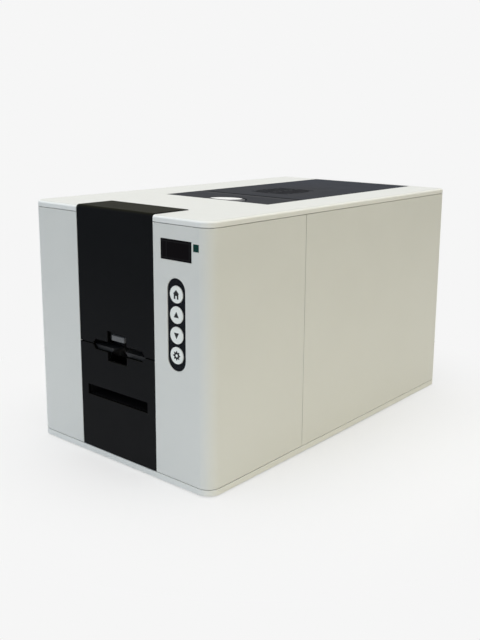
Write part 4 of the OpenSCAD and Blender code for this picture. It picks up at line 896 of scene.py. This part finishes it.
def softened(node, paint, radius, angle=35):
    """A bevelled copy of a CAD part, riding on that part's body."""
    source = nodes[node]
    mesh = bmesh.new()
    mesh.from_mesh(source.data)
    bmesh.ops.remove_doubles(mesh, verts=mesh.verts, dist=SAME_POINT)
    bmesh.ops.dissolve_limit(mesh, angle_limit=math.radians(FLAT_ANGLE), verts=mesh.verts,
                             edges=mesh.edges)
    piece = from_bmesh("soft_" + node, mesh)
    bevel = piece.modifiers.new("bevel", "BEVEL")
    bevel.width = radius
    bevel.segments = 2
    bevel.limit_method = "ANGLE"
    bevel.angle_limit = math.radians(angle)
    bevel.use_clamp_overlap = False
    for face in piece.data.polygons:
        face.use_smooth = True
    piece.modifiers.new("shade", "WEIGHTED_NORMAL").keep_sharp = True
    piece.data.materials.append(paint.material)
    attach(piece, source["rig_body"])
    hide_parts(node)
    return piece


print("soft edges ready")

# %% [markdown]
# The radius follows the mould: three tenths of a millimetre on the white shell and the black parts,
# a little more on the keys, which fingers press, and less on the latch and the thin bezel round the
# keys.
# %% Outer parts with soft edges
outer_parts = [
    ("front_shell", white_casing, "white_plastic", 0.3),
    ("feeder_door", black_door, "black_plastic", 0.3),
    ("lower_panel", black_door, "black_plastic", 0.3),
    ("door_latch", grey_tab, "tab_plastic", 0.25),
    ("keypad_bezel", key_pad, "pad_plastic", 0.2),
    ("home_key", key_cap, "key_plastic", 0.35),
    ("up_key", key_cap, "key_plastic", 0.35),
    ("down_key", key_cap, "key_plastic", 0.35),
    ("setup_key", key_cap, "key_plastic", 0.35),
]
for node, paint, slot, radius in outer_parts:
    softened(node, paint, radius * MM)
print("softened", len(outer_parts))

# %% [markdown]
# ## The parts that keep their CAD shape
# Nearly everything else is already the right shape and only takes its finish; the screws and the
# belt get more detail further on. A line for each part would do that too, but one table shows at a
# glance which parts share a material.
# %% Finishes of the other parts
finishes = {
    white_casing: ["rear_shell"],
    white_base: ["base_tray"],
    white_cover: ["top_cover"],
    dark_lid: ["top_door"],
    foot_rubber: ["rubber_feet"],
    shaft_steel: ["hinge_pins", "pickup_shaft", "mouth_shaft", "feed_shaft", "head_shaft",
                  "platen_shaft", "motor_pinion", "card_weight", "tie_bars"],
    mouth_pinch: ["mouth_pinch_roller"],
    feed_pinch: ["feed_pinch_roller"],
    glass: ["display_window"],
    lens_green: ["status_light"],
    panel_circuit: ["panel_board"],
    main_circuit: ["main_board"],
    zinc: ["left_side_plate", "right_side_plate", "power_supply"],
    inner_grey: ["card_hopper", "card_guides", "exit_flap"],
    inner_black: ["exit_chute", "cooling_fan", "fan_rotor", "power_rocker"],
    roller_rubber: ["pickup_roller", "mouth_roller", "feed_roller", "head_roller",
                    "platen_roller"],
    cleaner_blue: ["cleaning_roller"],
    bronze: ["shaft_bushes"],
    belt_rubber: ["drive_belt"],
    gear_cream: ["reduction_gear", "lift_cam"],
    motor_case: ["drive_motor"],
    can_metal: ["gear_motors"],
    head_metal: ["print_head"],
    powder_coat: ["head_bracket"],
    white_core: ["supply_core", "takeup_core"],
    fresh_roll: ["supply_film"],
    used_roll: ["takeup_film"],
    panels: ["ribbon_web"],
    inlet_plastic: ["power_inlet"],
    zinc_screw: ["case_screws"],
}
for paint, names in finishes.items():
    for name in names:
        for slot in nodes[name].material_slots:
            slot.material = paint.material
dressed = sum(len(names) for names in finishes.values())
print("dressed", dressed, "and softened", len(outer_parts), "of", len(nodes))

# %% [markdown]
# ## Signs on the keys
# The four keys carry plain signs: a house, a triangle up, a triangle down and a gear wheel. On the
# real keys they are printed. A mask for a house or a wheel would be a long sum, so each sign is an
# outline that becomes a plate a few hundredths of a millimetre proud of its key. It rides with the
# key, and its outline is sharp at any distance.
# %% Outlines of the signs
TEETH, ROOT_TURN, TIP_TURN = 8, 0.30, 0.17


def wheel_outline(teeth, tip, root):
    """A gear wheel as a sign, with blunt teeth."""
    points = []
    corners = ((-ROOT_TURN, root), (-TIP_TURN, tip), (TIP_TURN, tip), (ROOT_TURN, root))
    for tooth in range(teeth):
        for part, radius in corners:
            angle = 2 * math.pi * (tooth + part) / teeth
            points.append((radius * math.cos(angle), radius * math.sin(angle)))
    return points


house = [(0.0, 3.8), (3.2, 0.7), (2.55, 0.3), (2.55, -3.7), (0.85, -3.7), (0.85, -1.1),
         (-0.85, -1.1), (-0.85, -3.7), (-2.55, -3.7), (-2.55, 0.3), (-3.2, 0.7)]
upward = [(0.0, 2.9), (2.8, -2.1), (-2.8, -2.1)]
downward = [(x, -z) for x, z in upward]
wheel = wheel_outline(TEETH, 3.9, 2.95)
print("points", len(house), len(upward), len(wheel))

# %% Plates for the signs
sign_ink = Paint("sign_ink", (0.012, 0.013, 0.014), 0.5, specular=0.2)
worn = sign_ink.noise(0.0007, 4, 0.7)
sign_ink.set("Base Color", sign_ink.tint((worn * 2.0 - 1.1).clamped() * 0.5, (0.10, 0.10, 0.10)))
sign_ink.set("Roughness", 0.42 + 0.2 * worn)
SIGN_PROUD, SIGN_SUNK = 0.04, 0.10


def sign(name, key, outline, hole=0.0):
    """A thin plate on a key's face, with a round hole of this radius if wanted."""
    low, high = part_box(key)
    centre = (low + high) / 2
    plate = bmesh.new()
    front, back = low.y - SIGN_PROUD * MM, low.y + SIGN_SUNK * MM

    def ring(points, y):
        return [plate.verts.new((centre.x + x * MM, y, centre.z + z * MM)) for x, z in points]

    edges = [outline]
    if hole:
        steps = len(outline)
        first_turn = -ROOT_TURN / TEETH
        angles = [2 * math.pi * (i / steps + first_turn) for i in range(steps)]
        edges.append([(hole * math.cos(a), hole * math.sin(a)) for a in angles])
    fronts = [ring(points, front) for points in edges]
    backs = [ring(points, back) for points in edges]
    for near, behind in zip(fronts, backs):
        band(plate, near, behind)
    for side in (fronts, backs):
        if hole:
            band(plate, *side)
        else:
            plate.faces.new(side[0])
    made = from_bmesh(name, plate)
    made.data.materials.append(sign_ink.material)
    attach(made, nodes[key]["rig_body"])
    return made


sign("home_sign", "home_key", house)
sign("up_sign", "up_key", upward)
sign("down_sign", "down_key", downward)
sign("setup_sign", "setup_key", wheel, hole=1.25)
print("signs stand", SIGN_PROUD, "mm proud")

# %% [markdown]
# ## Case screws
# The rear shell and the chassis are held by small pan-head screws with a cross recess. The CAD
# model keeps plain pins with heads in their places. Typing those places in again would be one more
# list to keep in step, so they are read from its mesh, one box for each loose solid.
# %% Places of the loose solids of a part
def loose_boxes(node):
    """The lowest and highest corner of each separate solid of a part."""
    mesh = bmesh.new()
    mesh.from_mesh(nodes[node].data)
    bmesh.ops.remove_doubles(mesh, verts=mesh.verts, dist=SAME_POINT / 2)
    waiting = set(mesh.verts)
    boxes = []
    while waiting:
        island, edge = set(), [waiting.pop()]
        while edge:
            vertex = edge.pop()
            island.add(vertex)
            for link in vertex.link_edges:
                other = link.other_vert(vertex)
                if other in waiting:
                    waiting.discard(other)
                    edge.append(other)
        corners = [[f(v.co[axis] for v in island) for axis in range(3)] for f in (min, max)]
        boxes.append([Vector(corner) for corner in corners])
    mesh.free()
    return sorted(boxes, key=lambda box: tuple(box[0]))


screw_boxes = loose_boxes("case_screws")
print("screws", len(screw_boxes))

# %% [markdown]
# A screw is made as on a lathe: a profile with thread ridges is turned about its axis, and a
# boolean cuts the cross into its head. A true helix would cost many more faces, and only the ends
# of the thread could ever be seen. It stands on its tip with its head's top at zero.
# %% Turning and blocks
def lathe(mesh, profile, sides=24):
    """Turns a profile of (radius, height) points into a closed solid."""
    rings = [circle(mesh, radius, height, sides) for radius, height in profile]
    for lower, upper in zip(rings, rings[1:]):
        for i in range(sides):
            j = (i + 1) % sides
            quad = [lower[i % len(lower)], lower[j % len(lower)],
                    upper[j % len(upper)], upper[i % len(upper)]]
            mesh.faces.new(list(dict.fromkeys(quad)))


SIDES = ((0, 1, 3, 2), (4, 6, 7, 5), (0, 4, 5, 1), (2, 3, 7, 6), (0, 2, 6, 4), (1, 5, 7, 3))


def block(mesh, low, high, slot=0):
    """A box between two corners."""
    points = [mesh.verts.new((x, y, z)) for x in (low[0], high[0]) for y in (low[1], high[1])
              for z in (low[2], high[2])]
    for corners in SIDES:
        mesh.faces.new([points[i] for i in corners]).material_index = slot


print("lathe ready")

# %% One screw
SCREW_HEAD, SHANK = 1.2 * MM, 1.5 * MM
THREAD, THREAD_DEEP = 0.5 * MM, 0.22 * MM
CROSS_HALF, CROSS_DEEP, CROSS_SHARE = 0.32 * MM, 0.75 * MM, 0.58
TIP_SHARE, TIP_PLAIN, NECK = 0.55, 0.4 * MM, 0.8 * MM


def screw_profile(length, head_radius):
    """The outline from the tip, over the thread and the domed head, to its middle."""
    points = [(0, -length), (SHANK * TIP_SHARE, -length)]
    turn = -length + TIP_PLAIN
    while turn < -SCREW_HEAD - NECK:
        points += [(SHANK - THREAD_DEEP, turn), (SHANK, turn + THREAD / 2)]
        turn += THREAD
    points += [(SHANK - 0.1 * MM, -SCREW_HEAD), (head_radius, -SCREW_HEAD)]
    dome = ((1.0, 0.45), (0.93, 0.18), (0.7, 0.04))
    return points + [(head_radius * part, -drop * MM) for part, drop in dome] + [(0, 0)]


def screw_mesh(length, head_radius):
    """A pan-head screw with a cross recess."""
    turned_screw = bmesh.new()
    lathe(turned_screw, screw_profile(length, head_radius))
    blank = from_bmesh("screw_blank", turned_screw)
    arm = head_radius * CROSS_SHARE
    cutters = []
    for x, y in ((arm, CROSS_HALF), (CROSS_HALF, arm)):
        cross_cut = bmesh.new()
        block(cross_cut, (-x, -y, -CROSS_DEEP), (x, y, MM))
        cutters.append(from_bmesh("cutter", cross_cut))
    for cutter in cutters:
        cut = blank.modifiers.new("cross", "BOOLEAN")
        cut.operation = "DIFFERENCE"
        cut.solver = "EXACT"
        cut.object = cutter
    bpy.context.view_layer.update()
    seen_by = bpy.context.evaluated_depsgraph_get()
    finished = bpy.data.meshes.new_from_object(blank.evaluated_get(seen_by))
    for spent in [blank, *cutters]:
        bpy.data.objects.remove(spent)
    return finished


print("screw ready")

# %% [markdown]
# Copies go to all the places, joined in one mesh, since no screw moves by itself. A screw on the
# back looks backward and one in the base looks down, which shows in the way its box is long.
# %% Copies in all the places
TURN_EACH = 0.9


def screw_set():
    """All case screws as one piece, each turned to a different angle as a real one stops."""
    whole = bmesh.new()
    for count, (low, high) in enumerate(screw_boxes):
        size = high - low
        rear = size.y > size.z
        head = (low + high) / 2
        if rear:
            head.y = high.y
        else:
            head.z = low.z
        one = screw_mesh(size.y if rear else size.z, size.x / 2)
        tilt = Matrix.Rotation(math.radians(-90 if rear else 180), 4, "X")
        spin = Matrix.Rotation(TURN_EACH * count, 4, "Z")
        one.transform(Matrix.Translation(head) @ tilt @ spin)
        whole.from_mesh(one)
        bpy.data.meshes.remove(one)
    made = from_bmesh("cross_head_screws", whole)
    made.data.materials.append(zinc_screw.material)
    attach(made, nodes["case_screws"]["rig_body"])
    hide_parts("case_screws")
    return made


screws = screw_set()
print("screw faces", len(screws.data.polygons))

# %% [markdown]
# ## Toothed belt
# A printer's rollers have to turn exactly together, so the belt is toothed. The path goes round the
# first and the last pulley. One tooth could be copied along it by an array on a curve, but the
# teeth then rarely come out whole. Walking along the path in steps of a quarter tooth gives the
# outline; the inner side drops in and out to form the teeth, and both are joined into a closed
# band.
# %% Toothed belt
BELT_THICK, TOOTH, TOOTH_DEEP = 1.4 * MM, 2 * MM, 0.22 * MM
STEPS = 4


def toothed_belt():
    """The belt as one piece. Gives back how many teeth it has."""
    low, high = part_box("drive_belt")
    radius = (high.z - low.z) / 2
    z = (low.z + high.z) / 2
    ends = (low.y + radius, high.y - radius)
    straight, bend = ends[1] - ends[0], math.pi * (radius - BELT_THICK)
    around = 2 * (straight + bend)
    teeth = round(around / TOOTH)

    def on_path(distance, r):
        """The point at this distance along the belt, at this distance from the pulleys' centres."""
        if distance < straight:
            return ends[0] + distance, z + r
        distance -= straight
        if distance < bend:
            angle = math.pi / 2 - math.pi * distance / bend
            return ends[1] + r * math.cos(angle), z + r * math.sin(angle)
        distance -= bend
        if distance < straight:
            return ends[1] - distance, z - r
        angle = -math.pi / 2 - math.pi * (distance - straight) / bend
        return ends[0] + r * math.cos(angle), z + r * math.sin(angle)

    belt = bmesh.new()
    rows = []
    for step in range(teeth * STEPS):
        distance = around * step / (teeth * STEPS)
        inner = radius - BELT_THICK - (TOOTH_DEEP if step % STEPS in (1, 2) else 0.0)
        near, outer = on_path(distance, inner), on_path(distance, radius)
        corners = ((low.x, *near), (high.x, *near), (high.x, *outer), (low.x, *outer))
        rows.append([belt.verts.new(corner) for corner in corners])
    for row, following in zip(rows, rows[1:] + rows[:1]):
        band(belt, row, following)
    made = from_bmesh("toothed_belt", belt)
    made.data.materials.append(belt_rubber.material)
    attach(made, nodes["drive_belt"]["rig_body"])
    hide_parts("drive_belt")
    return teeth


print("belt teeth", toothed_belt())

# %% [markdown]
# ## Small parts on the main board
# The CAD board carries only its large parts. A real one is crowded with small ones: resistors,
# chips with legs and plug headers. Placing a hundred by hand shows nothing more than chance does,
# so they are laid out on a grid with a fixed random seed, leaving out the places of the large
# parts, and built as one mesh with three materials: black bodies, white headers and bright legs.
# %% Kinds and places of the small parts
import random

RESISTOR, CHIP, HEADER, NOTHING = range(4)
SMALL_PARTS = {RESISTOR: (1.6, 0.8, 0.5), CHIP: (4.0, 3.2, 1.3), HEADER: (6.0, 3.0, 4.5)}
CHANCES = [RESISTOR] * 4 + [CHIP] * 2 + [HEADER] + [NOTHING] * 2
BODY_SLOTS = {RESISTOR: 0, CHIP: 0, HEADER: 1}
LEG_SLOT = 2
ROWS, ROW_FIRST, ROW_STEP, ROW_SHIFT = 12, 76, 8.4, 1.0
COLUMNS, COLUMN_FIRST, COLUMN_STEP, COLUMN_SHIFT = 17, 219, 8, 1.2
MARGIN = 4
taken = [(238, 273, 117, 153), (298, 321, 127, 151), (228, 238, 80, 114), (255, 297, 88, 104),
         (348, 380, 70, 180), (214, 228, 70, 80), (214, 228, 168, 178), (280, 292, 70, 78)]


def is_free(d, z):
    """Whether a place on the board is clear of all its large parts."""
    return not any(front - MARGIN < d < back + MARGIN and low - MARGIN < z < high + MARGIN
                   for front, back, low, high in taken)


print("large parts to leave out", len(taken))

# %% Small parts on the main board
LEGS, LEG_WIDE, LEG_LONG, LEG_HIGH = 4, 0.3, 0.6, 0.5
LEG_OUT = 0.25


def chip_legs(whole, y, z, long, wide):
    """Legs on the upper and the lower side of a chip."""
    for leg in range(LEGS):
        at = y + (leg - (LEGS - 1) / 2) * 0.8 * long / LEGS * MM
        for side in (-1, 1):
            low = (z + side * (wide / 2 + LEG_OUT) - LEG_LONG / 2) * MM
            block(whole, ((board_x - LEG_HIGH) * MM, at - LEG_WIDE / 2 * MM, low),
                  (board_x * MM, at + LEG_WIDE / 2 * MM, low + LEG_LONG * MM), slot=LEG_SLOT)


def board_parts():
    """All small parts as one piece."""
    layout = random.Random(11)
    whole = bmesh.new()
    counts = [0, 0, 0]
    for row in range(ROWS):
        for column in range(COLUMNS):
            d = COLUMN_FIRST + column * COLUMN_STEP + layout.uniform(-COLUMN_SHIFT, COLUMN_SHIFT)
            z = ROW_FIRST + row * ROW_STEP + layout.uniform(-ROW_SHIFT, ROW_SHIFT)
            kind = layout.choice(CHANCES)
            if kind == NOTHING or not is_free(d, z):
                continue
            y = front_y + d * MM
            long, wide, tall = SMALL_PARTS[kind]
            if layout.random() < 0.5:
                long, wide = wide, long
            block(whole, ((board_x - tall) * MM, y - long / 2 * MM, (z - wide / 2) * MM),
                  (board_x * MM, y + long / 2 * MM, (z + wide / 2) * MM), slot=BODY_SLOTS[kind])
            if kind == CHIP:
                chip_legs(whole, y, z, long, wide)
            counts[kind] += 1
    made = from_bmesh("small_board_parts", whole)
    for paint in (inner_black, white_core, zinc_screw):
        made.data.materials.append(paint.material)
    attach(made, nodes["main_board"]["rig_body"])
    return counts


print("resistors, chips, headers", board_parts())
